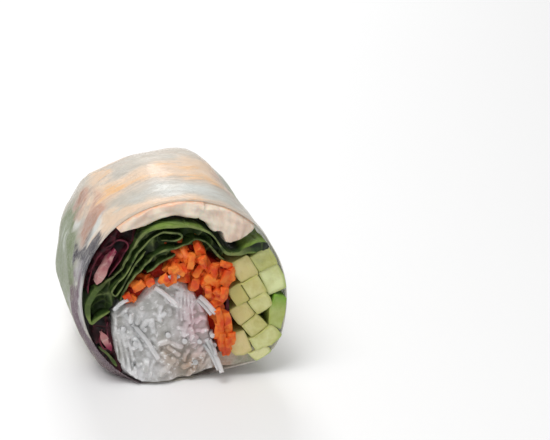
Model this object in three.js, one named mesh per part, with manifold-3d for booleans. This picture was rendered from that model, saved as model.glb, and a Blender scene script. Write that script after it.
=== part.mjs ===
// Half of a rice paper roll, cut across and lying on its side: a translucent rice paper
// skin, closed at one end, round shrimps, lettuce, radicchio, carrot shreds, cucumber
// batons and rice noodles that all run through it to the cut.
// Millimetres, +Z up. The cut faces -Y and the closed end points to +Y. The origin is on
// the surface that the roll rests on, under the middle of its box.
import * as THREE from "three";
import { mergeVertices } from "three/addons/utils/BufferGeometryUtils.js";
import Module from "manifold-3d";

const wasm = await Module();
wasm.setup();

// ---- driving dimensions ----
const ROLL_WIDTH = 50;
const HALF_LENGTH = 63; // cut to closed end
const CENTRE_HEIGHT = 22; // lower than the radius, because the roll sags flat underneath
const SKIN = 0.5; // rice paper, two layers in most places
const CLEARANCE = 0.4; // between the skin and what lies against it
const BELLY = 0.04; // how much wider the middle is than the cut, as a share
const BELLY_END = 0.8; // share of the length at which the belly has run out
const CLOSING = 0.44; // share of the length over which the closed end rounds off
const CUT_SLANT = Math.tan((-10 * Math.PI) / 180); // of the cut, seen from above
const CUT_LEAN = Math.tan((2 * Math.PI) / 180); // of the cut, seen from the side

const RADIUS = ROLL_WIDTH / 2;
const FILL_RADIUS = RADIUS - SKIN - CLEARANCE;
const FILL_LENGTH = HALF_LENGTH - 3 * CLEARANCE; // where the filling would close
const TAU = 2 * Math.PI;

// Swellings and dents of the roll: angle round it and its spread in degrees, place along
// it and its spread as shares of the length, and height.
const SWELLS = [
  { round: -66, roundSpread: 18, along: 0, alongSpread: 0.2, height: -3.2 },
  { round: -36, roundSpread: 20, along: 0, alongSpread: 0.25, height: 1.6 },
  { round: 20, roundSpread: 34, along: 0.38, alongSpread: 0.3, height: -2.1 },
  { round: 65, roundSpread: 24, along: 0.55, alongSpread: 0.3, height: 0.8 },
  { round: 95, roundSpread: 24, along: 0.78, alongSpread: 0.25, height: -3.2 },
  { round: 125, roundSpread: 28, along: 0.65, alongSpread: 0.3, height: -1.7 },
  { round: 165, roundSpread: 30, along: 0.65, alongSpread: 0.35, height: -2.6 },
  { round: 200, roundSpread: 20, along: 0.3, alongSpread: 0.25, height: -0.8 },
  { round: 225, roundSpread: 24, along: 0.3, alongSpread: 0.35, height: 2.8 },
];
const SWELL_START = 0.08; // share of the length over which those away from the cut grow in
const WAVE = { height: 0.9, length: 42, pitch: 9 }; // how the filling winds on its way
const END_PLEATS = { count: 5, depth: 0.05 };

// ---- the form of the roll ----
const degrees = (angle) => (angle * Math.PI) / 180;

function swell(angle, along) {
  const facing = THREE.MathUtils.radToDeg(angle);
  let height = 0;
  for (const s of SWELLS) {
    const turn = THREE.MathUtils.euclideanModulo(facing - s.round + 180, 360) - 180;
    const round = turn / s.roundSpread;
    const down = (along - s.along) / s.alongSpread;
    const grown = s.along === 0 ? 1 : Math.min(1, along / SWELL_START);
    height += grown * s.height * Math.exp(-round * round - down * down);
  }
  return 1 + height / RADIUS;
}

function closing(depth, length) {
  const start = HALF_LENGTH * (1 - CLOSING);
  const share = Math.min(1, Math.max(0, (depth - start) / (length - start)));
  return { share, width: Math.sqrt(1 - share * share) };
}

// The place of a point of the cross-section (x, z) at a depth behind the cut. The section
// keeps its layout along the roll, winds a little inside, and narrows to the closed end.
function place(flatX, flatZ, depth, length = FILL_LENGTH, floor = SKIN + CLEARANCE) {
  const along = THREE.MathUtils.clamp(depth / HALF_LENGTH, 0, 1);
  const outward = (flatX * flatX + (flatZ - CENTRE_HEIGHT) ** 2) / (FILL_RADIUS * FILL_RADIUS);
  const wave = Math.sin((TAU * Math.max(0, depth)) / WAVE.length);
  const winding = WAVE.height * Math.max(0, 1 - outward) * wave;
  const x = flatX + winding * Math.cos(flatZ / WAVE.pitch);
  const z = flatZ + winding * Math.cos(flatX / WAVE.pitch);
  const angle = Math.atan2(z - CENTRE_HEIGHT, x);
  const { share, width } = closing(depth, length);
  const pleat = 1 + END_PLEATS.depth * share * share * Math.sin(END_PLEATS.count * angle);
  const girth = 1 + BELLY * Math.sin(Math.PI * Math.min(1, along / BELLY_END));
  const scale = swell(angle, along) * pleat * girth * width;
  const bottom = CENTRE_HEIGHT * girth * (1 - width) + floor;
  const height = CENTRE_HEIGHT * girth + (z - CENTRE_HEIGHT) * scale;
  const slant = (1 - along) * (x * CUT_SLANT + (z - CENTRE_HEIGHT) * CUT_LEAN);
  return new THREE.Vector3(x * scale, depth + slant, Math.max(height, bottom));
}

// A point at a radius and an angle from the roll's own middle.
function placeRound(radius, angle, depth) {
  return place(radius * Math.cos(angle), CENTRE_HEIGHT + radius * Math.sin(angle), depth);
}

// ---- making closed meshes ----
function meshOf(vertices, triangles) {
  const geometry = new THREE.BufferGeometry();
  const places = vertices.flatMap((v) => v.toArray());
  geometry.setAttribute("position", new THREE.Float32BufferAttribute(places, 3));
  geometry.setIndex(triangles.flat());
  return facingOut(geometry);
}

function facingOut(geometry) {
  const p = geometry.getAttribute("position");
  const index = geometry.getIndex();
  const [a, b, c] = [new THREE.Vector3(), new THREE.Vector3(), new THREE.Vector3()];
  let volume = 0;
  for (let i = 0; i < index.count; i += 3) {
    a.fromBufferAttribute(p, index.getX(i));
    b.fromBufferAttribute(p, index.getX(i + 1));
    c.fromBufferAttribute(p, index.getX(i + 2));
    volume += a.dot(b.cross(c));
  }
  if (volume < 0) {
    for (let i = 0; i < index.count; i += 3) {
      const second = index.getX(i + 1);
      index.setX(i + 1, index.getX(i + 2));
      index.setX(i + 2, second);
    }
  }
  return geometry;
}

// A closed body through rings of as many points each, with a fan over each end.
function loft(rings) {
  const count = rings[0].length;
  const vertices = rings.flat();
  const triangles = [];
  for (let r = 0; r < rings.length - 1; r++) {
    for (let i = 0; i < count; i++) {
      const [a, b] = [r * count + i, r * count + ((i + 1) % count)];
      triangles.push([a, b, b + count], [a, b + count, a + count]);
    }
  }
  for (const [ring, first] of [[rings[0], 0], [rings.at(-1), (rings.length - 1) * count]]) {
    const middle = vertices.length;
    vertices.push(ring.reduce((sum, v) => sum.add(v), new THREE.Vector3()).divideScalar(count));
    for (let i = 0; i < count; i++) {
      const [a, b] = [first + i, first + ((i + 1) % count)];
      triangles.push(first === 0 ? [middle, b, a] : [middle, a, b]);
    }
  }
  return meshOf(vertices, triangles);
}

function solid(geometry) {
  const bare = geometry.clone();
  bare.deleteAttribute("normal");
  bare.deleteAttribute("uv");
  const merged = mergeVertices(bare);
  return new wasm.Manifold(
    new wasm.Mesh({
      numProp: 3,
      vertProperties: new Float32Array(merged.getAttribute("position").array),
      triVerts: new Uint32Array(merged.getIndex().array),
    }),
  );
}

function geometryOf(body) {
  const largest = body.decompose().sort((a, b) => b.volume() - a.volume())[0];
  const mesh = largest.getMesh();
  const geometry = new THREE.BufferGeometry();
  geometry.setAttribute("position", new THREE.Float32BufferAttribute(mesh.vertProperties, 3));
  geometry.setIndex(Array.from(mesh.triVerts));
  return geometry;
}

function steps(from, to, count) {
  return Array.from({ length: count + 1 }, (_, i) => from + ((to - from) * i) / count);
}

// An outline of the cross-section, carried from one depth to another.
function run(outline, from, to, count) {
  const shape = new THREE.Shape(outline.map(([x, z]) => new THREE.Vector2(x, z)));
  const extent = { depth: to - from, steps: count, bevelEnabled: false };
  const straight = new THREE.ExtrudeGeometry(shape, extent);
  const points = straight.getAttribute("position");
  for (let i = 0; i < points.count; i++) {
    const placed = place(points.getX(i), points.getY(i), from + points.getZ(i));
    points.setXYZ(i, placed.x, placed.y, placed.z);
  }
  straight.deleteAttribute("normal");
  straight.deleteAttribute("uv");
  return facingOut(mergeVertices(straight));
}

// ---- colours ----
const finish = (color, roughness) => new THREE.MeshStandardMaterial({ color, roughness, metalness: 0 });
const RICE_PAPER = new THREE.MeshStandardMaterial({
  color: 0xe6e2d6,
  roughness: 0.25,
  metalness: 0,
  transparent: true,
  opacity: 0.45,
});
const SHRIMP = finish(0xf0b590, 0.4);
const LETTUCE = finish(0x4c7a28, 0.45);
const RADICCHIO = finish(0x5e1430, 0.4);
const CARROT = finish(0xf0621a, 0.45);
const CUCUMBER = finish(0xc2d488, 0.35);
const NOODLE = finish(0xdcdcda, 0.2);

const roll = new THREE.Group();

function add(name, geometry, material) {
  const mesh = new THREE.Mesh(geometry, material);
  mesh.name = name;
  roll.add(mesh);
}

// ---- rice paper: an open-ended skin, thin all over, whose rim is the cut ----
const SKIN_SIDES = 36;
const SKIN_RINGS = 14;
const RING_TURN = 0.49 * Math.PI; // the rings' depths are sines, closer together at the closed end
const RING_CROWDING = 0.9;

function skinRing(depth, wall) {
  return steps(0, SKIN_SIDES - 1, SKIN_SIDES - 1).map((i) => {
    const angle = ((i + 0.5) * TAU) / SKIN_SIDES;
    const radius = RADIUS - wall;
    const [x, z] = [radius * Math.cos(angle), CENTRE_HEIGHT + radius * Math.sin(angle)];
    return place(x, z, depth, HALF_LENGTH - wall, wall);
  });
}

const skinTurns = steps(0, 1, SKIN_RINGS - 1).map((t) => RING_TURN * t ** RING_CROWDING);
const outsideDepths = skinTurns.map((turn) => HALF_LENGTH * Math.sin(turn));
const insideDepths = outsideDepths.map((depth) => Math.min(depth, HALF_LENGTH - 2 * SKIN));
const outsideRings = outsideDepths.map((depth) => skinRing(depth, 0));
const insideRings = insideDepths.map((depth) => skinRing(depth, SKIN)).reverse();
add("rice_paper", loft([...insideRings, ...outsideRings]), RICE_PAPER);

// ---- shrimps, curled round under the skin. Each spine goes from tail to head: angle
// round the roll in degrees, depth behind the cut, half width and thickness ----
const SHRIMPS = {
  shrimp_front_left: [
    [129, 1.5, 2.6, 2.2],
    [119, 2, 4.4, 3],
    [105, 2, 5, 3.3],
    [90, 1.8, 5, 3.4],
    [80, 1.5, 3.6, 3],
  ],
  shrimp_front_right: [
    [75, 2, 4, 3.8],
    [66, 2.6, 6, 5.8],
    [57, 3, 6.6, 6.9],
    [51.5, 3, 5.8, 6.9],
    [48, 3, 4.6, 5.4],
    [45.5, 3, 2.6, 2.6],
  ],
  shrimp_middle: [
    [141, 13, 2.4, 1.6],
    [132, 16.5, 4.6, 2.2],
    [118, 20, 6.4, 2.8],
    [100, 21, 7.6, 2.9],
    [82, 20.5, 8, 3.4],
    [65, 19, 7, 4],
    [54, 17.5, 3.4, 2.4],
  ],
  shrimp_back: [
    [142, 36, 2.6, 1.6],
    [134, 38.5, 4.6, 2.2],
    [118, 42, 6.4, 2.8],
    [98, 43.5, 7, 2.9],
    [78, 42.5, 6.6, 3.2],
    [62, 39.5, 5, 2.8],
    [54, 37, 2.6, 1.8],
  ],
};
const SHRIMP_SIDES = 10;
const SHRIMP_SEGMENTS = 6;
const SEGMENT_DENT = 0.06; // how far the joints between segments pinch in, as a share

function shrimp(spine) {
  const through = spine.map(([turn, depth]) => [degrees(turn) * FILL_RADIUS, depth, 0]);
  const girthsThere = spine.map(([, , half, thick]) => [half, thick, 0]);
  const curve = new THREE.CatmullRomCurve3(through.map((at) => new THREE.Vector3(...at)));
  const girths = new THREE.CatmullRomCurve3(girthsThere.map((at) => new THREE.Vector3(...at)));
  const rings = steps(0, 1, 3 * SHRIMP_SEGMENTS).map((t) => {
    const [middle, girth] = [curve.getPoint(t), girths.getPoint(t)];
    const across = curve.getTangent(t);
    const pinch = 1 - SEGMENT_DENT * Math.cos(t * SHRIMP_SEGMENTS * TAU);
    return steps(0, SHRIMP_SIDES - 1, SHRIMP_SIDES - 1).map((i) => {
      const angle = (i * TAU) / SHRIMP_SIDES;
      const out = girth.x * pinch * Math.cos(angle);
      const radius = FILL_RADIUS - (girth.y / 2) * (1 - Math.sin(angle) * pinch) - SEGMENT_DENT;
      const turn = (middle.x - across.y * out) / FILL_RADIUS;
      return placeRound(radius, turn, middle.y + across.x * out);
    });
  });
  return loft(rings);
}

// The room behind the cut, which trims the two shrimps that the knife went through.
const CUT_PROUD = 0.5;
const TRIM_SIDE = 2 * ROLL_WIDTH;
const wide = [[-TRIM_SIDE, SKIN], [TRIM_SIDE, SKIN], [TRIM_SIDE, TRIM_SIDE], [-TRIM_SIDE, TRIM_SIDE]];
const behindCut = solid(run(wide, -CUT_PROUD, HALF_LENGTH / 2, 1));
for (const [name, spine] of Object.entries(SHRIMPS)) {
  const whole = shrimp(spine);
  const atCut = name.startsWith("shrimp_front");
  add(name, atCut ? geometryOf(solid(whole).intersect(behindCut)) : whole, SHRIMP);
}

// ---- leaves: each is a centreline across the cut, in x and z, and the depths it spans ----
const LEAF_STATIONS = 5;
const LETTUCE_THICKNESS = 0.75;
const RADICCHIO_THICKNESS = 0.6;
const RAGGED = { height: 0.5, waves: 9 }; // how uneven the cut edge of a leaf is

function leaf({ line, thickness, from, to, points }) {
  const curve = new THREE.SplineCurve(line.map(([x, z]) => new THREE.Vector2(x, z)));
  const shares = steps(0, 1, points - 1);
  const sides = [1, -1].map((side) =>
    steps(0, 1, LEAF_STATIONS).flatMap((down) =>
      shares.map((t) => {
        const [middle, tangent] = [curve.getPoint(t), curve.getTangent(t)];
        const x = middle.x - (tangent.y * side * thickness) / 2;
        const z = middle.y + (tangent.x * side * thickness) / 2;
        const ragged = RAGGED.height * Math.sin(RAGGED.waves * t) * (1 - down);
        return place(x, z, from + (to - from) * down + ragged);
      }),
    ),
  );
  const other = sides[0].length;
  const triangles = [];
  const quad = (a, b, c, d) => triangles.push([a, b, c], [a, c, d]);
  for (let row = 0; row < LEAF_STATIONS; row++) {
    const [near, far] = [row * points, (row + 1) * points];
    for (let i = 0; i < points - 1; i++) {
      quad(near + i, near + i + 1, far + i + 1, far + i);
      const [a, b, c, d] = [near + i, near + i + 1, far + i + 1, far + i].map((corner) => other + corner);
      triangles.push([a, c, b], [a, d, c]);
    }
    const end = points - 1;
    quad(other + near, near, far, other + far);
    quad(near + end, other + near + end, other + far + end, far + end);
  }
  const last = LEAF_STATIONS * points;
  for (let i = 0; i < points - 1; i++) {
    quad(i + 1, i, other + i, other + i + 1);
    quad(last + i, last + i + 1, other + last + i + 1, other + last + i);
  }
  return meshOf(sides.flat(), triangles);
}

const LETTUCE_LEAVES = [
  {
    // the large leaf over the filling, from the right rim round to a hook at the left
    line: [[19.9, 34.6], [18, 35.4], [15.3, 34.7], [12.6, 33.3], [10, 33.4], [8.2, 35.6],
      [6, 38.2], [2.6, 40.6], [-2, 41.5], [-6.7, 40.8], [-10, 38.8], [-12.2, 35.8],
      [-14.1, 32.4], [-16.1, 29.3], [-18.6, 27.1], [-21.5, 25.3], [-23, 22.8], [-23.3, 19.9],
      [-22.7, 17.5], [-21.6, 17.8], [-20.2, 18.8], [-18.4, 19.6]],
    from: -0.6, to: 54, points: 36,
  },
  {
    // folded over twice under the large one
    line: [[-5.4, 37.4], [-2.4, 37.5], [-0.8, 38.5], [-1.8, 39.5], [-4.9, 39.5], [-7.4, 38.5],
      [-9.3, 37.1], [-10.9, 35.1], [-12.6, 32.2], [-14.5, 29.4], [-16.6, 27.2], [-17.7, 25.3],
      [-17, 24.1], [-15.9, 25.2], [-14.6, 27.4], [-13, 29.8], [-11.2, 32.4], [-9.2, 34.8]],
    from: -0.3, to: 44, points: 32,
  },
  {
    // the arch over the carrot
    line: [[9.4, 31.6], [8.2, 32.4], [7, 34], [5.4, 36.2], [3, 37.4], [0.2, 36.5],
      [-3.6, 35.4], [-6.8, 34], [-9.4, 31.9], [-11.6, 29.6], [-13.4, 27], [-15.2, 24],
      [-16, 22.4]],
    from: -0.2, to: 40, points: 22,
  },
  {
    // a short lobe between the arch and the carrot
    line: [[-1.9, 34], [-3, 33.2], [-5.4, 32.4], [-7.4, 31], [-9.2, 29.6]],
    from: 0.2, to: 44, points: 8,
  },
  {
    // against the skin on the left, from behind the cut
    line: [[-20.5, 33.6], [-21.8, 31.2], [-22.8, 28.6], [-23.2, 27]],
    from: 10, to: 50, points: 8,
  },
  {
    // the torn bit at the lower left
    line: [[-19.2, 9.3], [-18.5, 8.2], [-17.9, 7.3], [-17.2, 6.3]],
    from: 0.2, to: 30, points: 7,
  },
];
LETTUCE_LEAVES.forEach((shape, i) => {
  add(`lettuce_${i + 1}`, leaf({ thickness: LETTUCE_THICKNESS, ...shape }), LETTUCE);
});

const RADICCHIO_LEAVES = [
  {
    // folded round its rib, under the skin beside the rim
    line: [[-23.2, 24.6], [-22.6, 28.4], [-20.9, 32.2], [-18.4, 35.6], [-15.8, 37.6],
      [-13.9, 37.6], [-13.4, 36.3], [-15, 33.9], [-16.8, 31.4], [-18.4, 29.2]],
    thickness: RADICCHIO_THICKNESS, from: -0.2, to: 8.5, points: 22,
  },
  {
    // the thick pale rib
    line: [[-21.3, 27.4], [-19.8, 29.9], [-18.3, 32.2], [-17.2, 34], [-16.3, 35.6]],
    thickness: 1.3, from: -0.4, to: 46, points: 9,
  },
  {
    // the dark fold at the lower left
    line: [[-20.2, 15], [-21.1, 12.5], [-20.1, 10.1], [-19, 11.2], [-19.2, 14.4], [-19, 17]],
    thickness: 0.9, from: -0.3, to: 34, points: 16,
  },
  {
    // a shred between the carrot and the cucumber
    line: [[9.2, 22.8], [9.9, 20.6], [9.7, 18.4], [10.4, 15.8]],
    thickness: 0.7, from: -0.2, to: 26, points: 8,
  },
];
RADICCHIO_LEAVES.forEach((shape, i) => add(`radicchio_${i + 1}`, leaf(shape), RADICCHIO));

// ---- cucumber batons: middle of each in x and z, width, height and turn in degrees ----
const BATONS = [
  [18.8, 31, 4.2, 4, 29],
  [20.9, 25.7, 4.2, 6, 22],
  [14.3, 28.8, 4.2, 4.8, 30],
  [16.3, 24.1, 3.9, 4.3, 31],
  [17.7, 19.9, 3.9, 3.4, 30],
  [12.6, 22.1, 2.9, 4.1, 25],
  [13.1, 17.3, 3.9, 3.6, 30],
  [15.8, 14, 4, 3.4, 36],
  [21.6, 17.4, 2.5, 7, -16],
  [18, 11, 6, 3, 33],
  [17, 6.6, 2.9, 2.2, 42],
  [12.4, 9.1, 3.2, 5.3, 23],
];
const BATON_CHAMFER = 0.14; // of the corners, as a share of the side
const BATON_LENGTH = 46;
const BATON_STEPS = 4;
const BATON_PROUD = { mean: 0.5, swing: 0.5, turn: 5 }; // how far each cut end stands out
BATONS.forEach(([x, z, width, height, turn], i) => {
  const [w, h] = [width / 2, height / 2];
  const [c, d] = [w * (1 - 2 * BATON_CHAMFER), h * (1 - 2 * BATON_CHAMFER)];
  const corners = [[w, -d], [w, d], [c, h], [-c, h], [-w, d], [-w, -d], [-c, -h], [c, -h]];
  const [cos, sin] = [Math.cos(degrees(turn)), Math.sin(degrees(turn))];
  const outline = corners.map(([u, v]) => [x + u * cos - v * sin, z + u * sin + v * cos]);
  const proud = BATON_PROUD.mean + BATON_PROUD.swing * Math.sin(BATON_PROUD.turn * i);
  add(`cucumber_${i + 1}`, run(outline, -proud, BATON_LENGTH - 2 * proud, BATON_STEPS), CUCUMBER);
});

// ---- a seeded draw, the same each time ----
const DRAW = { seed: 20, factor: 16807, modulus: 2147483647 };
let drawn = DRAW.seed;
function draw(from, to) {
  drawn = (drawn * DRAW.factor) % DRAW.modulus;
  return from + ((to - from) * drawn) / DRAW.modulus;
}

// ---- carrot: cut ends of shreds that stand out of the band beside the noodles ----
const CARROT_BAND = [
  [-13.8, 22.9], [-11.1, 26.1], [-6.6, 29.3], [-2.2, 31.2], [-0.4, 34.2], [2, 35], [4.2, 33.8],
  [6.2, 31.4], [8.4, 30], [10.6, 29], [10.3, 25.2], [8.3, 22.6], [8.5, 19], [9.1, 15.4],
  [10.2, 13.2], [9.2, 10.4], [10.5, 5.8], [9.2, 4.8], [7.9, 11.4], [6.5, 18.2], [3.7, 23.8],
  [-0.4, 28.6], [-6.4, 28.2], [-10.3, 25.4], [-12.9, 22.6],
];
const BAND_RECESS = 1.3;
const BAND_DEPTH = 50;
const HEAP_STEPS = 6; // of the two heaps' cores along the roll
const SHREDS = [
  [1.1, 33.3], [3.2, 32.6], [-1.6, 30.5], [0.9, 30.7], [3.7, 30.1], [5.6, 31], [6.7, 28.8],
  [1.7, 28.1], [4.3, 27.4], [6.8, 26.4], [8.9, 28.4], [9.1, 26.2], [8.8, 24.1], [4.6, 25],
  [6.7, 24], [6.9, 21.6], [7.7, 19.7], [7.4, 17.4], [7.8, 15.1], [9.3, 13.4], [8.3, 11.2],
  [8.9, 8.4], [-4, 29.5], [-6.6, 28.2], [-9, 26.6], [-11, 24.9], [-12.6, 23.2],
];
const SHRED = { narrow: 1.8, wide: 2.6, proud: 1.5, root: 6 };

let carrot = solid(run(CARROT_BAND, BAND_RECESS, BAND_DEPTH, HEAP_STEPS));
for (const [x, z] of SHREDS) {
  const [w, h] = [draw(SHRED.narrow, SHRED.wide) / 2, draw(SHRED.narrow, SHRED.wide) / 2];
  const [turn, proud] = [draw(0, Math.PI / 2), draw(0, SHRED.proud)];
  const outline = [[w, -h], [w, h], [-w, h], [-w, -h]].map(([u, v]) => [
    x + u * Math.cos(turn) - v * Math.sin(turn),
    z + u * Math.sin(turn) + v * Math.cos(turn),
  ]);
  carrot = carrot.add(solid(run(outline, -proud, SHRED.root, 1)));
}
add("carrot_shreds", geometryOf(carrot), CARROT);

// ---- rice noodles: loops and ends of strands that stand out of the bundle ----
const BUNDLE = [
  [-14.8, 21], [-17.4, 18.2], [-17.7, 13.4], [-17, 8], [-16, 4.8], [-13.8, 2.6], [-3, 1.2],
  [3, 1.2], [7.6, 1.5], [7.4, 5.6], [6.4, 11.4], [5, 17.8], [2, 23.6], [-1.4, 27],
  [-6.7, 26.7], [-9.8, 23.6], [-12.3, 21],
];
const BUNDLE_RECESS = 0.8;
const BUNDLE_DEPTH = 57;
const NOODLE_DIAMETER = 1.5;
const STRAND_SIDES = 6;
const STRAND_STEPS = 6;
const STRANDS = 44;
const STRAND_ROOT = [[-0.7, 4], [-0.4, 1]]; // places across, as shares of a strand's reach, and depths
const STRAND_TIP = 0.6;
const STRAND_PROUD = [0.6, 2.2];
const STRAND_REACH = [0.8, 1.8];
const LYING = { every: 3, longer: 3 }; // the strands that lie across the heap
const HEAP = { x: -5, z: 13.8, width: 10, height: 10.8 };
const GOLDEN_TURN = Math.PI * (3 - Math.sqrt(5));

const strandSection = new THREE.Shape(
  steps(0, STRAND_SIDES - 1, STRAND_SIDES - 1).map((i) => {
    const angle = (i * TAU) / STRAND_SIDES;
    return new THREE.Vector2(Math.cos(angle), Math.sin(angle)).multiplyScalar(NOODLE_DIAMETER / 2);
  }),
);

function strand(points) {
  const extrudePath = new THREE.CatmullRomCurve3(points);
  const extent = { extrudePath, steps: STRAND_STEPS, bevelEnabled: false };
  return new THREE.ExtrudeGeometry(strandSection, extent);
}

let noodles = solid(run(BUNDLE, BUNDLE_RECESS, BUNDLE_DEPTH, HEAP_STEPS));
for (let i = 0; i < STRANDS; i++) {
  const reach = Math.sqrt((i + 0.5) / STRANDS);
  const x = HEAP.x + HEAP.width * reach * Math.cos(i * GOLDEN_TURN);
  const z = HEAP.z + HEAP.height * reach * Math.sin(i * GOLDEN_TURN);
  const [lie, proud] = [draw(0, TAU), draw(...STRAND_PROUD)];
  const across = (i % LYING.every === 0 ? LYING.longer : 1) * draw(...STRAND_REACH);
  const path = [...STRAND_ROOT, [0, -proud / 2], [STRAND_TIP, -proud]].map(([share, depth]) =>
    place(x + across * share * Math.cos(lie), z + across * share * Math.sin(lie), depth),
  );
  noodles = noodles.add(solid(strand(path)));
}
add("rice_noodles", geometryOf(noodles), NOODLE);

const box = new THREE.Box3().setFromObject(roll);
const middle = box.getCenter(new THREE.Vector3());
roll.position.set(-middle.x, -middle.y, -box.min.z);

export default roll;
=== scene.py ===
"""Looks of half a rice paper roll, cut across and lying on its side.

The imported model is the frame. Every filling is laid out across the cut in x and z, in
millimetres, and carried back along the roll by place(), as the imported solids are.
"""
import math

import bpy
import numpy as np
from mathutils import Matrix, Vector


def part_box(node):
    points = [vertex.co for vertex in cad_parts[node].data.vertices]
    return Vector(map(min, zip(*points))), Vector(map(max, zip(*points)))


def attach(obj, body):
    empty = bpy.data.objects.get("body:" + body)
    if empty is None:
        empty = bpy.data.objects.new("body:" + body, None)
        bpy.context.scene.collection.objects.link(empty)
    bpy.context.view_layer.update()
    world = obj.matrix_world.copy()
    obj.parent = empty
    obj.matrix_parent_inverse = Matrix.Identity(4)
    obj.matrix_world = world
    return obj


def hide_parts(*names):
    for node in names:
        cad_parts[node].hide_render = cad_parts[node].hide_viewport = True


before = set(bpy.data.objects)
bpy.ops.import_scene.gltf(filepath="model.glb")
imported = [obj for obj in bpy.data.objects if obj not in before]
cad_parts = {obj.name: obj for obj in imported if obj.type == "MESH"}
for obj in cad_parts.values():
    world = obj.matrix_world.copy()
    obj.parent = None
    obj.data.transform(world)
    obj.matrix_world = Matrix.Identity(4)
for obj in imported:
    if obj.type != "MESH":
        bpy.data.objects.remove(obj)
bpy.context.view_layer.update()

MM = 0.001
TAU = 2 * math.pi

# ---- driving dimensions, in millimetres ----
ROLL_WIDTH = 50
HALF_LENGTH = 63
CENTRE_HEIGHT = 22
SKIN = 0.5
CLEARANCE = 0.4
BELLY, BELLY_END = 0.04, 0.8  # how much wider the roll gets, and where along it that ends
CLOSING = 0.44  # the share of the length over which it closes
CUT_SLANT = math.tan(math.radians(-10))
CUT_LEAN = math.tan(math.radians(2))
RADIUS = ROLL_WIDTH / 2
FILL_RADIUS = RADIUS - SKIN - CLEARANCE
FILL_LENGTH = HALF_LENGTH - 3 * CLEARANCE
SWELL_START = 0.08
WAVE_HEIGHT, WAVE_LENGTH, WAVE_PITCH = 0.9, 42, 9  # how the fillings wind along the roll
END_PLEATS, PLEAT_DEPTH = 5, 0.05

# angle round the roll and its spread in degrees, share of the length and its spread, height
SWELLS = (
    (-66, 18, 0, 0.2, -3.2),
    (-36, 20, 0, 0.25, 1.6),
    (20, 34, 0.38, 0.3, -2.1),
    (65, 24, 0.55, 0.3, 0.8),
    (95, 24, 0.78, 0.25, -3.2),
    (125, 28, 0.65, 0.3, -1.7),
    (165, 30, 0.65, 0.35, -2.6),
    (200, 20, 0.3, 0.25, -0.8),
    (225, 24, 0.3, 0.35, 2.8),
)


def smooth(low, high, value):
    """0 where the value is low, 1 where it is high, and smooth between."""
    share = np.clip((np.asarray(value, float) - low) / (high - low), 0, 1)
    return share * share * (3 - 2 * share)


def bell(off, spread):
    """1 where off is 0, and smoothly down to 0 on both sides."""
    return np.exp(-((off / spread) ** 2))


def patch(turn, share, middle, turn_spread, down, down_spread):
    """1 at a place on the roll, by its angle in degrees and share of the length, and less round it."""
    return bell((turn - middle + 180) % 360 - 180, turn_spread) * bell(share - down, down_spread)


def uneven(seed, *where, waves=10):
    """Smooth unevenness, mostly between -1 and 1, from waves across the given coordinates."""
    chance = np.random.default_rng(seed)
    total = 0
    for _ in range(waves):
        way = chance.normal(size=len(where))
        way *= chance.uniform(0.6, 1.6) / np.linalg.norm(way)
        total = total + np.sin(sum(w * c for w, c in zip(way, where)) + chance.uniform(0, TAU))
    return total * 0.8 / math.sqrt(waves)


def swell(angle, along):
    height = 0
    for *place_on_roll, size in SWELLS:
        grown = 1 if place_on_roll[2] == 0 else np.minimum(1, along / SWELL_START)
        height = height + grown * size * patch(np.degrees(angle), along, *place_on_roll)
    return 1 + height / RADIUS


def carry(x, z, depth, length=FILL_LENGTH, floor=SKIN + CLEARANCE):
    """Points of the cross-section at a depth behind the cut, measured from the cut's own middle."""
    x, z, depth = np.broadcast_arrays(*(np.asarray(v, float) for v in (x, z, depth)))
    along = np.clip(depth / HALF_LENGTH, 0, 1)
    outward = (x * x + (z - CENTRE_HEIGHT) ** 2) / FILL_RADIUS ** 2
    winding = WAVE_HEIGHT * np.maximum(0, 1 - outward) * np.sin(TAU * np.maximum(0, depth) / WAVE_LENGTH)
    x, z = x + winding * np.cos(z / WAVE_PITCH), z + winding * np.cos(x / WAVE_PITCH)
    angle = np.arctan2(z - CENTRE_HEIGHT, x)
    start = HALF_LENGTH * (1 - CLOSING)
    share = np.clip((depth - start) / (length - start), 0, 1)
    width = np.sqrt(1 - share * share)
    pleat = 1 + PLEAT_DEPTH * share * share * np.sin(END_PLEATS * angle)
    girth = 1 + BELLY * np.sin(math.pi * np.minimum(1, along / BELLY_END))
    scale = swell(angle, along) * pleat * girth * width
    bottom = CENTRE_HEIGHT * girth * (1 - width) + floor
    height = CENTRE_HEIGHT * girth + (z - CENTRE_HEIGHT) * scale
    slant = (1 - along) * (x * CUT_SLANT + (z - CENTRE_HEIGHT) * CUT_LEAN)
    return np.stack([x * scale, depth + slant, np.maximum(height, bottom)], -1)


def skin_points(angle, depth, wall=0.0):
    """Points of the wrapper, as far inside its outer face as the wall says."""
    radius = RADIUS - wall
    x, z = radius * np.cos(angle), CENTRE_HEIGHT + radius * np.sin(angle)
    return carry(x, z, depth, HALF_LENGTH - np.maximum(wall, 0), np.maximum(wall, 0))


def corners_round(sides, start=0.0):
    """Angles of as many corners, evenly round the roll."""
    return (np.arange(sides) + start) * TAU / sides


def ring_depths(count, reach, pace):
    """Depths of the wrapper's rings, which follow its rounded end more closely the further they reach."""
    return HALF_LENGTH * np.sin(reach * math.pi * np.linspace(0, 1, count) ** pace)


# The solids' wrapper, sampled as they are, says where the middle of the cut is in the frame.
SKIN_SIDES, SKIN_RINGS = 36, 14
sampled = skin_points(corners_round(SKIN_SIDES, 0.5)[None, :], ring_depths(SKIN_RINGS, 0.49, 0.9)[:, None])
ORIGIN = np.array(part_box("rice_paper")[0]) / MM - sampled.reshape(-1, 3).min(0)


def place(x, z, depth, floor=SKIN + CLEARANCE):
    return carry(x, z, depth, floor=floor) + ORIGIN


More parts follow.
